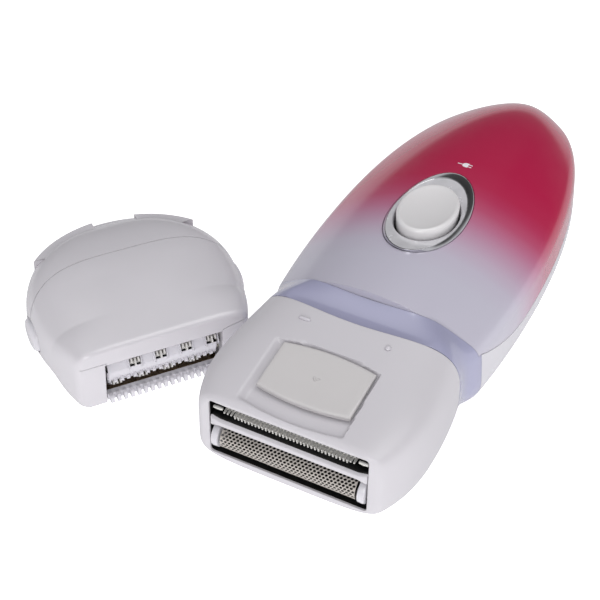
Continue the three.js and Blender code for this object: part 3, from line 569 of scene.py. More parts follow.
MATS = {
    "cover_gradient": cover_material(),
    "lavender_gloss": plastic("lavender_shell", (167, 167, 194), 0.18, 1.0, sss=0.05),
    # A darker copy of white_gloss for the loose head: painted shade for how it is lit.
    "loose_white_painted_shade": plastic("loose_head_shell_painted_shade", (208, 205, 210), 0.22, 0.5, sss=0.04),
    "white_gloss": plastic("white_shell", (214, 212, 218), 0.24, 0.5, sss=0.06),
    "satin_grey": plastic("satin_head", (208, 205, 211), 0.38, 0.12, grain=0.1),
    # head_shell and crossbar: satin plastic with painted shade, nearly black, inside the head's opening
    "head_shell": painted_shade_inside("satin_head_shell_painted_shade", -66.3),
    "crossbar": painted_shade_inside("satin_crossbar_painted_shade", -66.25),
    # A brighter copy of white_gloss for the power button: painted light for how it is lit.
    "button_white_painted_light": plastic("button_white_painted_light", (226, 224, 225), 0.2, 0.5, sss=0.04),
    "print_ink": plastic("print_ink", (246, 240, 246), 0.4),
    "warm_grey": plastic("warm_panel", (204, 201, 201), 0.42, 0.1, grain=0.15),
    "dark_plastic": plastic("dark_plastic", (22, 22, 24), 0.45, 0.1),
    "dark_rubber": plastic("dark_rubber", (26, 26, 28), 0.7),
    "circuit_board": plastic("board_mask", (22, 96, 60), 0.35, 0.3, vary=0.12),
    "natural_plastic": plastic("natural_plastic", (222, 217, 205), 0.4, vary=0.03),
    "lamp_lens": plastic("lamp_lens", (240, 236, 220), 0.1, 0.8),
    "chrome_trim": metal("chrome_trim", (222, 222, 226), 0.07, depth=0.02),
    "satin_chrome": metal("satin_chrome", (232, 231, 235), 0.22, depth=0.0, edge=0.0, scale=300,
                          metallic=0.3),
    "steel_parts": metal("steel_parts", (186, 187, 190), 0.28, (1, 6, 6)),
    "bright_steel": metal("bright_steel", (244, 242, 238), 0.36, depth=0.05, metallic=0.4),
    "dark_steel": metal("dark_steel", (58, 54, 52), 0.4),
    # bronze sheet for the shaded gap under the drum: painted shade
    "bronze_gap_shade": metal("bronze_gap_shade", (120, 104, 84), 0.3, (1, 4, 4), depth=0.04),
    "foil_steel": metal("foil_steel", (222, 215, 208), 0.32, (8, 1, 1), depth=0.06, metallic=0.55),
    "brass_parts": metal("brass_parts", (206, 168, 88), 0.28),
    "cell_can": plastic("cell_sleeve", (70, 104, 84), 0.35, 0.3),
}


# ---------- handset shells ----------
def egg(grow, count=200):
    t = np.linspace(0, 2 * math.pi, count, endpoint=False)
    taper = 1 - 0.06 * np.sin(t)
    return np.column_stack([(9.7 + grow) * taper * np.cos(t), 8.8 + (17.7 + grow) * np.sin(t)])


def handset_shells():
    shell = body_solid("shell", -32, 0)
    boolean(shell, body_solid("hollow", -34, WALL, 12, 40))
    lower = shell.copy()
    lower.data = shell.data.copy()
    bpy.context.scene.collection.objects.link(lower)
    clip(shell, beside_part("above", 0.08, 50), beyond("tailward", cover_line, 0.03, 95))
    cut(shell, prism("switch_hole", egg(0.04), 20, 45), socket_bore())
    shell.name = "cover_shell"
    finish_piece(shell, MATS["cover_gradient"], "handset", ["front_cover"], angle=40)
    clip(lower, beside_part("below", -0.08, -10), box("aft", -40, 40, COLLAR_Y + 0.03, 95, -5, 45))
    cut(lower, socket_bore())
    lower.name = "back_shell"
    finish_piece(lower, MATS["white_gloss"], "handset", ["back_cover"], angle=40)


def bore(name, radius, y0, y1, z):
    """A cutter for a round hole along y."""
    return move(turned(name, [(0, y0), (radius, y0), (radius, y1), (0, y1)], "y", 40), z=z)


def socket_bore():
    return bore("socket_bore", 3.5, 70, 95, SOCKET_Z)


def collar():
    rings = []
    for y in np.linspace(-37.5, -17, 60):
        t = min(1.0, max(0.0, (COLLAR_Y - y) / (COLLAR_Y - NECK_Y)))
        ease = t * t * (3 - 2 * t)
        body = body_ring(max(y, NECK_Y), 0)
        top = resample(body[:95, [0, 2]], 110)
        low = resample(body[list(range(94, len(body))) + [0]][:, [0, 2]], 64)[1:-1]
        head = head_ring(min(y, -25.0), 0)[:, [0, 2]]
        ring = np.concatenate([top, low]) * (1 - ease) + head * ease
        crown = max(0.0, min(1.0, (-22 - y) / 9))
        ring[:, 1] -= np.maximum(0, (ring[:, 1] - VALLEY_Z) * crown)
        rings.append(np.column_stack([ring[:, 0], np.full(len(ring), y), ring[:, 1]]))
    obj = loft("neck_collar_shell", rings)
    cover_region = beyond("rear_top", cover_line, -0.03, 10)
    boolean(cover_region, beside_part("above", -0.03, 50), "INTERSECT")
    back_region = box("rear_low", -40, 40, COLLAR_Y - 0.03, 10, -5, 45)
    boolean(back_region, beside_part("below", 0.03, -10), "INTERSECT")
    cut(obj, cover_region, back_region)
    clip(obj, beyond("behind_neck", neck_line, 0, 10))
    socket = loft("plug_socket", [plug_ring(-42, -0.4), plug_ring(-24.4, -0.4)])
    hollow = loft("collar_hollow", [body_ring(y, WALL) for y in (-22.2, -20, -15)])
    cut(obj, socket, hollow, bore("shaft_hole", 3.1, -27, -19, SHAFT_Z))
    finish_piece(obj, MATS["lavender_gloss"], "handset", ["neck_collar"], angle=40)


def plug_ring(y, inset):
    return square_ring(y, 22.9 - inset, HEAD_MID_Z, 27.4 - inset, 6.4 + inset, 3.6, 2.6)


# ---------- switch ----------
def oval(half_x, half_y, y, count=220):
    t = np.linspace(0, 2 * math.pi, count, endpoint=False)
    return np.column_stack([half_x * np.cos(t), y + half_y * np.sin(t)])


def switch_ring():
    """A teardrop base rising to a bright crest, then a satin band falling to the well round the button."""
    base = egg(-0.04, 220)
    crest = oval(8.75, 15.6, 6.5)
    lip = oval(7.9, 11.1, 6.8)
    well = oval(7.55, 10.35, 7.2)
    ground = np.array([dome_z(x, y) for x, y in base]) - 0.03
    crest_z = CREST_Z - 0.7 * (crest[:, 0] / 8.75) ** 2

    def row(plan, z):
        return np.column_stack([plan, z])

    def between(a, b, f):
        return a + (b - a) * f

    rows = [row(base, ground - 4), row(base, ground - 0.03)]
    for f in np.linspace(0.1, 0.97, 10):
        rows.append(row(between(base, crest, f), between(ground, crest_z, f**0.85)))
    rows.append(row(crest, crest_z + 0.03))
    for f in (0.03, 0.07):
        rows.append(row(between(crest, lip, f), crest_z - 0.6 * f))
    outer = loft_open("switch_bezel_rim", rows)
    finish_piece(outer, MATS["chrome_trim"], "handset", ["switch_bezel"], angle=60)
    inner = [rows[-1]]
    for f in np.linspace(0.12, 1, 9):
        inner.append(row(between(crest, lip, f), crest_z - 0.04 - 0.55 * f**1.3))
    for f in np.linspace(0.12, 1, 9):
        inner.append(row(between(lip, well, f), crest_z - 0.62 - 1.9 * f**1.4))
    inner.append(row(well, crest_z - 6))
    flank = loft_open("switch_bezel_band", inner)
    finish_piece(flank, MATS["satin_chrome"], "handset", angle=60)


def loft_open(name, rows):
    verts = np.concatenate(rows)
    obj = new_object(name, verts, grid_faces(len(rows), len(rows[0]), True))
    return outward(obj)


def power_button():
    """Oval cap: a shallow dished top inside a narrow rounded rim, on a plain side wall."""
    top, bottom = BUTTON_HIGH[2], BUTTON_HIGH[2] - 4.6
    half_x, half_y = BUTTON_HIGH[0], (BUTTON_HIGH[1] - BUTTON_LOW[1]) / 2
    middle = (BUTTON_HIGH[1] + BUTTON_LOW[1]) / 2
    rim = 0.8
    rows = [(1.3, top - 2.6), (1.3, bottom), (0.15, bottom), (0, bottom + 0.2), (0, top - rim)]
    for a in np.linspace(0.12, math.pi / 2, 12):
        rows.append((rim * (1 - math.cos(a)), top - rim + rim * math.sin(a)))
    for f in np.linspace(0.06, 1, 14):
        rows.append((rim + (half_x - rim - 0.02) * f, top - 0.95 * math.sin(f * math.pi / 2) ** 0.8))
    rings = []
    for inset, z in rows:
        inward = max(0, inset - rim) / (half_x - rim)
        plan = oval(half_x - inset, half_y - inset - (half_y - half_x) * inward, middle, 160)
        rings.append(np.column_stack([plan, np.full(len(plan), z)]))
    finish_piece(loft("button_cap", rings), MATS["button_white_painted_light"], "button", ["power_button"], angle=50)


def plug_icon():
    """A small printed plug mark, lying on the cover behind the switch."""
    body = [(-1.0, 0.0), (-1.0, 0.9), (-0.55, 1.5), (0.55, 1.5), (1.0, 0.9), (1.0, 0.0)]
    tail = [(-0.17, 1.5), (-0.17, 2.9), (0.17, 2.9), (0.17, 1.5)]
    pins = []
    for x0, x1 in ((-0.66, -0.34), (0.34, 0.66)):
        pins.append([(x0, -1.0), (x0, 0.02), (x1, 0.02), (x1, -1.0)])
    verts, faces = [], []
    for shape in [body, tail, *pins]:
        start = len(verts)
        for along, across in shape:
            x, y = 0.9 - across, 31.2 + along
            verts.append((x, y, dome_z(x, y) + 0.02))
        faces.append(list(range(start, len(verts))))
    obj = new_object("plug_mark", verts, faces)
    finish_piece(obj, MATS["print_ink"], "handset")


# ---------- shaver head ----------
def smooth(v, low, high):
    t = np.clip((v - low) / (high - low), 0, 1)
    return t * t * (3 - 2 * t)


def slide_outline(grow, front_extra=0.0, count=60):
    half = 11.6 + grow
    x = np.linspace(-half, half, count)
    arc = 1.2 * (1 - (x / half) ** 2)
    rear = np.column_stack([x, -46.3 + grow + arc])
    front = np.column_stack([x, -59.7 - grow - front_extra - arc])[::-1]
    return np.concatenate([rear, front])


def panel_recess(x, y):
    """Depth of the shallow dish round the slider: soft at the left and in front, crisp elsewhere."""
    arc = 1.2 * (1 - np.minimum(1, (x / 11.9) ** 2))
    left = smooth(x, -14.2, -12.1)
    right = 1 - smooth(x, 11.9, 12.15)
    rear = 1 - smooth(y - arc, -46.0, -45.6)
    front = smooth(y + arc, -64.9, -63.2)
    return left * right * rear * front


def shaver_housing():
    front = HEAD_FACE_Y
    r = 1.5
    ys = [front + r * (1 - math.cos(a)) for a in np.linspace(0, math.pi / 2, 9)]
    ys += list(np.linspace(front + r, -45.0, 74)[1:]) + list(np.linspace(-45, -29, 24)[1:])
    rings = []
    for y in ys:
        d = min(r, y - front)
        inset = r - math.sqrt(max(0.0, r * r - (r - d) ** 2))
        ring = head_ring(y, inset * 0.8, n_up=230, n_low=90)
        mask = (ring[:, 2] > head_top(y) - 1.6)
        depth = 1.5 * panel_recess(ring[:, 0], ring[:, 1])
        ring[:, 2] -= np.where(mask, depth, 0)
        rings.append(ring)
    obj = loft("shaver_shell", rings)
    inner_ys = [-63.6, -60, -54, -48, -42, -36, -28]
    cut(obj, loft("inner", [head_ring(y, HEAD_WALL) for y in inner_ys]))
    cut(obj, beyond("neckward", neck_line, -0.22, 10))
    cut(obj, prism_y("opening", rounded_rect(OPEN_HALF, OPEN_LOW, OPEN_HIGH, 0.9), -72, -61))
    cut(obj, tilted(box("slot", -4.6, 4.6, -59.6, -50.6, -6, -0.9)))
    # The head_shell material paints the inside of the opening nearly black as painted shade.
    finish_piece(obj, MATS["head_shell"], "shaver_head", ["shaver_housing"], angle=38)


def head_marks():
    """Two small raised marks behind the slider: a bar at the left and a dot at the right."""
    bar = [(0, -1.5), (0.25, -1.4), (0.42, -1.0), (0.45, 0), (0.42, 1.0), (0.25, 1.4), (0, 1.5)]
    dot = [(0, -0.6), (0.5, -0.45), (0.75, 0), (0.5, 0.4), (0.2, 0.5), (0, 0.5)]
    x, y = 10.5, -38.3
    marks = [move(turned("mark", bar, "x", 16), -x, y, head_top(y)),
             move(turned("mark", dot, "z", 24), x, y, head_top(y))]
    marks = join("head_marks", marks)
    finish_piece(marks, MATS["satin_grey"], "shaver_head", angle=60)


def rounded_rect(half, low, high, r, steps=6):
    points = []
    right, left, top, bottom = half - r, -half + r, high - r, low + r
    for cx, cz, start in ((right, top, 0), (left, top, 90), (left, bottom, 180), (right, bottom, 270)):
        for a in np.radians(np.linspace(start, start + 90, steps)):
            points.append((cx + r * math.cos(a), cz + r * math.sin(a)))
    return np.array(points)


def prism_y(name, outline, low, high):
    """An (x, z) outline swept along y."""
    flat = np.asarray(outline, float)
    n = len(flat)
    verts = [(x, y, z) for y in (low, high) for x, z in flat]
    faces = [list(range(n)), list(range(n, 2 * n))[::-1]]
    faces += [[j, (j + 1) % n, n + (j + 1) % n, n + j] for j in range(n)]
    return outward(new_object(name, verts, faces))


def tilted(obj):
    """Lays a solid built level on the head's sloping top."""
    turn = Matrix.Rotation(math.atan(HEAD_SLOPE), 4, "X")
    there = Matrix.Translation((0, HEAD_TOP_AT * MM, HEAD_TOP_Z * MM))
    back = Matrix.Translation((0, -HEAD_TOP_AT * MM, 0))
    obj.data.transform(there @ turn @ back)
    return obj


def slider_panel():
    edge = 0.55
    rows = [(0.1, -0.9), (0, -0.6), (0, 0.0)]
    for a in np.linspace(0, math.pi / 2, 7):
        rows.append((edge * (1 - math.cos(a)), 0.5 - edge + edge * math.sin(a)))
    rings = []
    for inset, z in rows:
        plan = slide_outline(-inset - 0.05)
        rings.append(np.column_stack([plan, np.full(len(plan), z)]))
    for f in (0.92, 0.8, 0.6, 0.4, 0.2, 0.06):
        plan = slide_outline(-edge - 0.05)
        centre = np.array([0, -53.0])
        plan = centre + (plan - centre) * f
        rings.append(np.column_stack([plan, np.full(len(plan), 0.5 - 0.12 * (1 - f**2))]))
    panel = tilted(loft("slider_panel", rings))
    arrow = [(-0.9, -52.9), (0, -53.9), (0.9, -52.9), (0.55, -52.7), (0, -53.3), (-0.55, -52.7)]
    shell = join("slider_panel_shell", [panel, tilted(prism("arrow", arrow, 0.3, 0.5))])
    finish_piece(shell, MATS["warm_grey"], "trimmer_unit", ["trimmer_slider"], angle=35)


def comb_row(name, y0, y1, z0, z1, half, pitch, duty, shift=0.0):
    """One thin steel blade with tapered teeth along its front edge."""
    outline = [(half, y1), (-half, y1)]
    count = int(2 * half / pitch)
    start = -count * pitch / 2 + shift
    for i in range(count):
        a = start + i * pitch
        w = pitch * duty
        outline += [(a + (pitch - w) / 2, y1 - 0.9), (a + pitch / 2 - w * 0.3, y0)]
        outline += [(a + pitch / 2 + w * 0.3, y0), (a + (pitch + w) / 2, y1 - 0.9)]
    return tilted(prism(name, outline, z0, z1))


def trimmer():
    comb = comb_row("comb_plate", -67.1, -64.8, -4.2, -3.75, 16.4, 0.86, 0.62)
    profile = [(0, -1.3), (0.4, -1.1), (0.5, 0), (0.4, 1.1), (0, 1.3)]
    pins = [tilted(move(turned("pin", profile, "x", 16), x, -66.2, -4.1)) for x in (-17.9, 17.9)]
    comb = join("trimmer_comb_plate", [comb, *pins])
    finish_piece(comb, MATS["bright_steel"], "trimmer_unit", ["trimmer_comb"], angle=30)
    blade = comb_row("trimmer_blade_plate", -67.0, -64.9, -4.95, -4.5, 14.6, 0.86, 0.62, 0.43)
    finish_piece(blade, MATS["bright_steel"], "trimmer_cutter", ["trimmer_blade"], angle=30)


def crossbar():
    """A bar with a blunt front edge; its ends flare out and slope back to the walls."""
    rings = []
    for x in (-19.35, -19.0, -17.6, -17.0, -10, 0, 10, 17.0, 17.6, 19.0, 19.35):
        flare = 0.55 * float(smooth(abs(x), 17.0, 18.9))
        front = -66.9 + 0.3 * float(smooth(abs(x), 18.8, 19.35))
        side = [(-62, 18.6), (-65.6, 18.6 - flare), (front + 0.25, 18.8 - flare), (front, 19.1 - flare),
                (front, 20.2 + flare), (front + 0.25, 20.5 + flare), (-65.8, 20.9 + flare), (-62, 20.9)]
        rings.append([(x, y, z) for y, z in side])
    bar = loft("crossbar_shell", rings)
    # The crossbar material paints its part inside the opening nearly black as painted shade.
    finish_piece(bar, MATS["crossbar"], "shaver_head", ["shaver_crossbar"], angle=35)


def foil():
    """Thin arched sheet with rows of slanted oval holes, in a plain steel border."""
    pitch, rows_n = 0.96, 11
    length = 34.4
    cols = int(length / pitch)
    x0 = -cols * pitch / 2
    arc_low, arc_high = -1.25, 1.25
    arc_step = (arc_high - arc_low) / rows_n
    verts, faces = [], []

    def on(x, a):
        return (x, FOIL_Y - FOIL_R * math.cos(a), FOIL_Z + FOIL_R * math.sin(a))

    for row in range(rows_n):
        shift = (row % 2) * pitch / 2
        for col in range(cols - (1 if row % 2 else 0)):
            ax = x0 + shift + col * pitch
            aa = arc_low + row * arc_step
            mx, ma = ax + pitch / 2, aa + arc_step / 2
            rim = []
            for u, v in ((0, 0), (0.5, 0), (1, 0), (1, 0.5), (1, 1), (0.5, 1), (0, 1), (0, 0.5)):
                rim.append((ax + u * pitch, aa + v * arc_step))
            hole = []
            for k in range(8):
                ang = math.radians(225 + 45 * k)
                hx, ha = 0.36 * math.cos(ang), 0.097 * math.sin(ang)
                hole.append((mx + hx + 0.9 * ha, ma + ha))
            start = len(verts)
            verts += [on(x, a) for x, a in rim] + [on(x, a) for x, a in hole]
            for k in range(8):
                n = (k + 1) % 8
                faces.append([start + k, start + n, start + 8 + n, start + 8 + k])
        if row % 2:
            for ax, bx in ((x0, x0 + shift), (x0 + shift + (cols - 1) * pitch, x0 + cols * pitch)):
                start = len(verts)
                verts += [on(ax, aa), on(bx, aa), on(bx, aa + arc_step), on(ax, aa + arc_step)]
                faces.append([start, start + 1, start + 2, start + 3])
    for a0, a1 in ((arc_low, -math.pi / 2), (arc_high, math.pi / 2)):
        start = len(verts)
        for x in (x0, -x0):
            verts += [on(x, a0), on(x, (a0 + a1) / 2), on(x, a1), (x, -60.2, on(x, a1)[2])]
        faces += [[start + k, start + k + 1, start + 5 + k, start + 4 + k] for k in range(3)]
    obj = new_object("foil_sheet", verts, faces)
    bm = bmesh.new()
    bm.from_mesh(obj.data)
    bmesh.ops.remove_doubles(bm, verts=bm.verts, dist=1e-6)
    bmesh.ops.recalc_face_normals(bm, faces=bm.faces)
    bm.to_mesh(obj.data)
    bm.free()
    mod = obj.modifiers.new("thick", "SOLIDIFY")
    mod.thickness = 0.12 * MM
    mod.offset = 0
    apply_modifiers(obj)
    finish_piece(obj, MATS["foil_steel"], "foil_unit", ["shaver_foil"], angle=40)


def foil_caps():
    for side, node in ((1, "foil_cap_right"), (-1, "foil_cap_left")):
        rings = []
        for x, r in ((17.35, 3.3), (17.45, 3.45), (18.6, 3.5), (19.0, 3.35), (19.15, 3.0)):
            a = np.linspace(-math.pi / 2, math.pi / 2, 24)
            arch = [(FOIL_Y - r * math.cos(v), FOIL_Z + r * math.sin(v)) for v in a]
            side_line = [(-60.6, FOIL_Z - r)] + arch + [(-60.6, FOIL_Z + r)]
            rings.append([(side * x, y, z) for y, z in side_line])
        finish_piece(loft(node + "_shell", rings), MATS["white_gloss"], "foil_unit", [node], angle=40)


# ---------- epilation head, in its own level frame ----------
def epi_half(y):
    if y <= EPI_WIDEST:
        return EPI_HALF - (EPI_HALF - EPI_FRONT_HALF) * ((EPI_WIDEST - y) / EPI_WIDEST) ** 2
    t = (y - EPI_WIDEST) / (EPI_REAR - EPI_WIDEST)
    return EPI_HALF * math.sqrt(max(0.0, 1 - t * t))


def epi_top(y):
    along = max(y, 0)
    return 20 + 0.13 * along + 1.2 * math.sin(math.pi * min(along, 40) / 40)


def epi_ring(y, inset):
    half = max(epi_half(y) - inset, 1.5)
    k = min(1.0, (half / (EPI_HALF - inset)) ** 0.45) if y > EPI_WIDEST else 1.0
    top = EPI_MID_Z + (epi_top(y) - inset - EPI_MID_Z) * k
    keel = EPI_MID_Z - (EPI_MID_Z - inset) * max(k, 0.6)
    sharp = max(0, 1 - max(y, 0) / 9)
    lower = 3.4 - 0.9 * min(1, max(0, y / 12)) + 3 * sharp
    ring = square_ring(y, half, EPI_MID_Z, top, keel - 1.2, 3.8 + 3.4 * sharp, lower, n_up=150, n_low=80)
    z = np.maximum(ring[:, 2], inset)
    fade = max(0.0, 1 - max(y, 0) / 20)
    return np.column_stack([ring[:, 0], ring[:, 1] - EPI_LEAN * z * fade, z])


def epi_solid(name, front, rear, inset, fore=50, aft=50):
    r = 1.3
    ys, insets = [], []
    for a in np.linspace(0, math.pi / 2, 8):
        ys.append(front + r * (1 - math.cos(a)))
        insets.append(inset + 0.8 * (r - r * math.sin(a)))
    for y in np.linspace(front + r, EPI_WIDEST, fore)[1:]:
        ys.append(y)
        insets.append(inset)
    for t in np.linspace(0, 1, aft)[1:]:
        ys.append(EPI_WIDEST + (rear - EPI_WIDEST) * math.sin(t * math.pi / 2))
        insets.append(inset)
    return loft(name, [epi_ring(y, i) for y, i in zip(ys, insets)])


def epi_seam(x):
    return 26.3 - 5 * (x / 25) ** 4


EPI_PLACE = Matrix.Translation((EPI_X * MM, EPI_Y * MM, 0)) @ Matrix.Rotation(EPI_YAW, 4, "Z")


def place_epi(obj):
    obj.data.transform(EPI_PLACE)
    return obj


def at_release_button(obj, side):
    """Moves a solid turned about x to one side button, made oval and mirrored for the left."""
    obj.data.transform(Matrix.Diagonal((side, RELEASE_STRETCH, 1, 1)))
    return outward(move(obj, y=RELEASE_Y, z=RELEASE_Z))


def button_bores():
    tools = []
    for side in (1, -1):
        hole = turned("bore", [(0, 20), (4.2, 20), (4.2, 32), (0, 32)], "x", 48)
        tools.append(at_release_button(hole, side))
    return tools


def epi_shells():
    shell = epi_solid("epi_shell", 0, EPI_REAR - 0.4, 0)
    cut(shell, epi_solid("epi_hollow", 2.2, EPI_REAR - 2.4, 2.2, 16, 16))
    cut(shell, beyond("rear_part", epi_seam, -0.07, 60), box("window", -15, 15, -8, 5, -2, 14.6))
    cut(shell, *button_bores(), *front_seams())
    finish_piece(place_epi(shell), MATS["loose_white_painted_shade"], "epilation_head", ["epi_frame"], angle=38)
    rear = epi_solid("epi_rear", 0, EPI_REAR - 0.4, 0)
    boolean(rear, epi_rim(), "UNION")
    cut(rear, epi_solid("rear_hollow", 2.2, EPI_REAR - 4, 4, 16, 16))
    clip(rear, beyond("rear_side", epi_seam, 0.07, 60))
    cut(rear, box("latch_hole", -9, 9, 30, 50, 5, 16), *button_bores())
    bridge = box("bridge", -22.6, 22.6, 26.6, 28.6, 4, 20)
    cut(bridge, bore("drive_hole", 3.4, 20, 32, 12))
    boolean(rear, bridge, "UNION")
    rear.name = "epi_base_shell"
    finish_piece(place_epi(rear), MATS["loose_white_painted_shade"], "epilation_head", ["epi_base"], angle=38)


def front_seams():
    """Hairline joints on the front face: a straight one on the left, a rising curve on the right."""
    x = np.linspace(14.5, 22.5, 24)
    z = 14.4 + 2.6 * np.sqrt((x - 14.5) / 8)
    under, over = np.column_stack([x, z - 0.07]), np.column_stack([x, z + 0.07])
    curve = np.concatenate([under, over[::-1]])
    straight = [(-22.5, 15.1), (-14.5, 15.1), (-14.5, 15.24), (-22.5, 15.24)]
    return [prism_y("seam_right", curve, -5, -1.7), prism_y("seam_left", straight, -5, -1.7)]


def epi_rim():
    """Rim of the coupling: it stands up behind the dome, with a rounded top edge and a wide notch."""
    def outline(inset):
        start = math.asin(13.5 / 22.7)
        a = np.linspace(start, math.pi - start, 90)
        return np.column_stack([(26.4 - inset) * np.cos(a), 20 + (22.7 - inset) * np.sin(a)])

    rings = []
    for inset, z in ((0, 3), (0, 21.4), (0.06, 21.65), (0.2, 21.85), (0.4, 21.97), (0.6, 22)):
        plan = outline(inset)
        rings.append(np.column_stack([plan, np.full(len(plan), z)]))
    rim = loft("epi_rim", rings)
    return cut(rim, box("notch", -3.2, 8, 38.5, 50, 20.5, 30))


def release_buttons():
    profile = [(0, 20.6), (4.5, 20.6), (4.5, 21.4), (3.9, 21.6), (3.9, 26.6),
               (3.8, 27.0), (3.4, 27.5), (2.6, 27.8), (1.4, 27.95), (0, 28.0)]
    for side, end in ((1, "right"), (-1, "left")):
        node = "release_button_" + end
        obj = at_release_button(turned(node + "_shell", profile, "x", 56), side)
        finish_piece(place_epi(obj), MATS["white_gloss"], "release_" + end, [node], angle=40)


# For each tweezer row: its angle round the drum, and its shift along the drum.
ROWS = {"upper": (2.72, 2.8), "lower": (3.95, -1.9)}


def stack_places(shift):
    return [shift + STACK_PITCH * (i - (STACKS - 1) / 2) for i in range(STACKS)]


def slab(name, angle, x0, x1, r0, r1, w0, w1):
    """A bar along the drum, from radius r0 to r1 and from w0 to w1 across."""
    c, s = math.cos(angle), math.sin(angle)
    corners = []
    for r, w in ((r0, w0), (r1, w0), (r1, w1), (r0, w1)):
        corners.append((DRUM_Y + r * c - w * s, DRUM_Z + r * s + w * c))
    return prism(name, corners, x0, x1, axis="x")


def at_drum(obj):
    return move(obj, y=DRUM_Y, z=DRUM_Z)


def drum():
    inner_r, inner_half = DRUM_R - 0.4, DRUM_HALF - 0.4
    profile = [(0, -DRUM_HALF), (inner_r, -DRUM_HALF), (DRUM_R, -inner_half),
               (DRUM_R, inner_half), (inner_r, DRUM_HALF), (0, DRUM_HALF)]
    barrel = at_drum(turned("barrel", profile, "x", 96))
    ridges = []
    for angle, _ in ROWS.values():
        cut(barrel, slab("groove", angle, -15.2, 15.2, 2.2, 6, -1.3, 1.3))
    shaft = at_drum(turned("shaft", [(0, -16.8), (1.2, -16.8), (1.2, 20.4), (0, 20.4)], "x", 32))
    boolean(barrel, shaft, "UNION")
    for angle, shift in ROWS.values():
        stacks = stack_places(shift)
        edges = [-14.0] + [x + side for x in stacks for side in (-1.55, 1.55)] + [14.0]
        for x0, x1 in zip(edges[::2], edges[1::2]):
            if x1 - x0 > 0.5:
                ridges.append(slab("guard", angle, x0, x1, 4.45, 5.15, -1.27, 1.27))
        for x in stacks:
            for dx in (-1.75, 1.45):
                ridges.append(slab("rib", angle + 0.05, x + dx, x + dx + 0.3, 4.5, 5.6, -1.5, 1.5))
    for x in np.arange(-12.4, 12.6, 1.65):
        ridges.append(slab("short_tooth", 3.5, x - 0.4, x + 0.4, 4.8, 5.75, -0.3, 0.7))
    obj = join("drum_barrel", [barrel, *ridges])
    finish_piece(place_epi(obj), MATS["white_gloss"], "drum", ["tweezer_drum"], angle=35)
    # Thin dark sheets line the floor and walls of each tweezer groove: painted shade in the grooves.
    beds = []
    for angle, _ in ROWS.values():
        beds.append(slab("bed", angle, -14.1, 14.1, 2.24, 2.4, -1.25, 1.25))
        beds += [slab("bed", angle, -14.1, 14.1, 2.4, 4.7, w, w + 0.06) for w in (-1.31, 1.25)]
    beds = place_epi(join("drum_groove_shade_sheets", beds))
    finish_piece(beds, MATS["dark_plastic"], "drum", angle=30)


def tweezers():
    for name, (angle, shift) in ROWS.items():
        fixed = [slab("bar", angle, -13.8, 13.9, 2.5, 3.1, -1, 0.2)]
        moving = [slab("bar", angle, -13, 13, 3.3, 4.2, 0.45, 1)]
        for x in stack_places(shift):
            for dx in (-0.9, 0.9):
                fixed.append(slab("plate", angle, x + dx - 0.2, x + dx + 0.2, 2.5, 5.9, -1, 0.2))
            moving.append(slab("plate", angle, x - 0.2, x + 0.2, 3.3, 5.9, -0.9, 1))
        fixed = place_epi(join("fixed_plates_" + name, fixed))
        moving = place_epi(join("moving_plates_" + name, moving))
        finish_piece(fixed, MATS["bright_steel"], "drum", ["tweezer_row_" + name], angle=30)
        finish_piece(moving, MATS["bright_steel"], "pinch_plates", ["pinch_row_" + name], angle=30)


def skin_comb():
    parts = [box("bar", -14.6, 14.6, 0.2, 4, 1.2, 3)]
    for x in np.linspace(-13.8, 13.8, 17):
        side = [(-1.3, 1.2), (0.9, 1.2), (0.9, 3.0), (-0.8, 3.0), (-1.15, 2.7), (-1.3, 2.2)]
        parts.append(prism("tooth", side, x - 0.42, x + 0.42, axis="x"))
    comb = place_epi(join("skin_comb_teeth", parts))
    finish_piece(comb, MATS["white_gloss"], "epilation_head", ["skin_comb"], angle=30)
    # A thin bronze sheet in the gap between the drum and the comb: painted shade standing in for the
    # shadowed gap there.
    strip = place_epi(box("comb_gap_shade_strip", -14.5, 14.5, 1.7, 3.95, 3.02, 3.12))
    finish_piece(strip, MATS["bronze_gap_shade"], "epilation_head", angle=30)


# ---------- everything inside keeps its CAD shape ----------
# inner_cutter and shaver_base wear darker materials than their slots: painted shade inside the head.
# trimmer_carrier keeps its own dark slot.
DARK_AND_PAINTED_SHADE_INSIDE = {
    "inner_cutter": "dark_steel",
    "trimmer_carrier": "dark_plastic",
    "shaver_base": "dark_plastic",
}


def dress_cad_nodes():
    for name, obj in frame["nodes"].items():
        obj.data.materials.clear()
        obj.data.materials.append(MATS[DARK_AND_PAINTED_SHADE_INSIDE.get(name, SLOTS[name])])


dress_cad_nodes()
handset_shells()
collar()
switch_ring()
power_button()
plug_icon()
shaver_housing()
head_marks()
slider_panel()
trimmer()
crossbar()
foil()
foil_caps()
epi_shells()
release_buttons()
drum()
tweezers()
skin_comb()


# ---------- studio ----------
def studio():
    bm = bmesh.new()
    bmesh.ops.create_grid(bm, x_segments=8, y_segments=8, size=1.5)
    mesh = bpy.data.meshes.new("floor")
    bm.to_mesh(mesh)
    bm.free()
    floor = bpy.data.objects.new("floor", mesh)
    bpy.context.scene.collection.objects.link(floor)
    floor.location = (0, 0, -0.0002)
    m = Mat("floor_paper")
    path = m.node("ShaderNodeLightPath")
    paper = m.ramp(m.noise(30, 2), [(0.3, (0.89, 0.89, 0.89)), (0.7, (0.91, 0.91, 0.91))])
    mirrored = (0.4, 0.4, 0.41, 1)
    m.base_color(m.mix(path.outputs["Is Glossy Ray"], paper, mirrored))
    glow = m.mix(path.outputs["Is Glossy Ray"], (1, 1, 1, 1), mirrored)
    m.link(glow, m.bsdf.inputs["Emission Color"])
    m.set(Roughness=0.8, Emission_Strength=0.62)
    mesh.materials.append(m.mat)
    sky()
    lamp("key", (0.2, -0.7, 0.36), 0.4, 2.0, mirrored=True)
    lamp("top", (0.34, 0.08, 0.84), 0.7, 2.7, mirrored=True)
    lamp("left", (-0.7, -0.2, 0.5), 0.4, 0.2, mirrored=False)


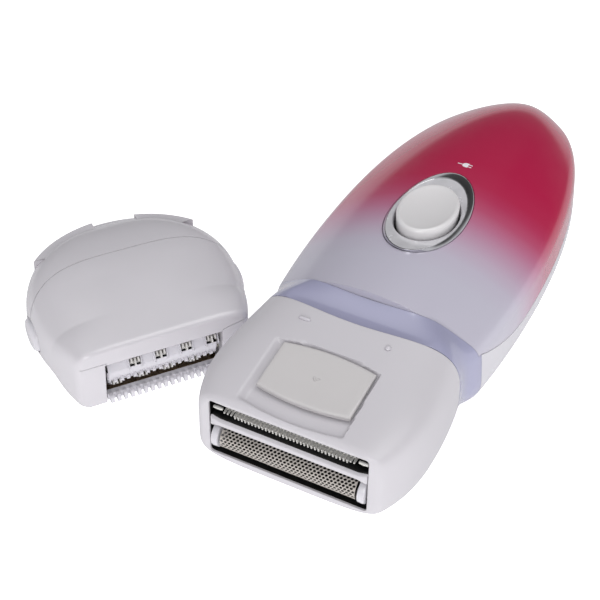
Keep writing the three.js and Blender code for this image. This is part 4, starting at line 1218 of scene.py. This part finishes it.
def sky():
    """Even light for matt surfaces; reflections see a soft horizon, a dim band and a bright top."""
    world = bpy.data.worlds.new("studio")
    bpy.context.scene.world = world
    world.use_nodes = True
    w = Nodes(world.node_tree)
    split = w.node("ShaderNodeSeparateXYZ")
    w.link(w.coord.outputs["Generated"], split.inputs[0])
    level = w.ramp(split.outputs["Z"], [
        (0.0, (0.5, 0.5, 0.51)), (0.03, (0.3, 0.3, 0.3)), (0.08, (0.08, 0.08, 0.08)),
        (0.3, (0.04, 0.04, 0.04)), (0.7, (0.06, 0.06, 0.06)), (0.82, (0.35, 0.35, 0.36)),
        (0.93, (1, 1, 1)),
    ])
    along = w.node("ShaderNodeMath", operation="MULTIPLY_ADD")
    w.link(split.outputs["X"], along.inputs[0])
    along.inputs[1].default_value = 1.5
    w.link(split.outputs["Y"], along.inputs[2])
    side = w.remap(along.outputs[0], 0.95, 1.1, 0, 1)
    black, white = (0, 0, 0), (1, 1, 1)
    band = w.ramp(split.outputs["Z"], [(0.24, black), (0.3, white), (0.72, white), (0.8, black)])
    card = w.node("ShaderNodeMath", operation="MULTIPLY")
    w.link(side, card.inputs[0])
    w.link(band, card.inputs[1])
    mirrored = w.mix(card.outputs[0], level, (0.01, 0.01, 0.01, 1))
    path = w.node("ShaderNodeLightPath")
    lit = w.mix(path.outputs["Is Glossy Ray"], (0.46, 0.46, 0.47, 1), mirrored)
    seen = w.mix(path.outputs["Is Camera Ray"], lit, (1, 1, 1, 1))
    w.link(seen, w.tree.nodes["Background"].inputs["Color"])


def lamp(name, place, size, watts, mirrored):
    """A square area lamp aimed at the handset; mirrored lamps show in reflections."""
    light = bpy.data.lights.new(name, "AREA")
    light.shape = "SQUARE"
    light.size = size
    light.energy = watts
    obj = bpy.data.objects.new(name, light)
    bpy.context.scene.collection.objects.link(obj)
    obj.location = place
    aim = Vector((0, -0.01, 0.02)) - Vector(place)
    obj.rotation_euler = aim.to_track_quat("-Z", "Y").to_euler()
    obj.visible_glossy = mirrored


def camera():
    az, el, roll = math.radians(27.01), math.radians(41.32), math.radians(0.68)
    ahead = Vector((-math.sin(az) * math.cos(el), math.cos(az) * math.cos(el), -math.sin(el)))
    side = Vector((math.cos(az), math.sin(az), 0))
    rise = side.cross(ahead)
    right = math.cos(roll) * side + math.sin(roll) * rise
    top = math.cos(roll) * rise - math.sin(roll) * side
    data = bpy.data.cameras.new("camera")
    data.sensor_width = 36
    data.lens = 87
    data.clip_start = 0.01
    obj = bpy.data.objects.new("camera", data)
    bpy.context.scene.collection.objects.link(obj)
    turn = Matrix((right, top, -ahead)).transposed().to_4x4()
    turn.translation = Vector((0.10031, -0.25818, 0.25325))
    obj.matrix_world = turn
    bpy.context.scene.camera = obj


studio()
camera()
bpy.context.scene.view_settings.view_transform = "Standard"
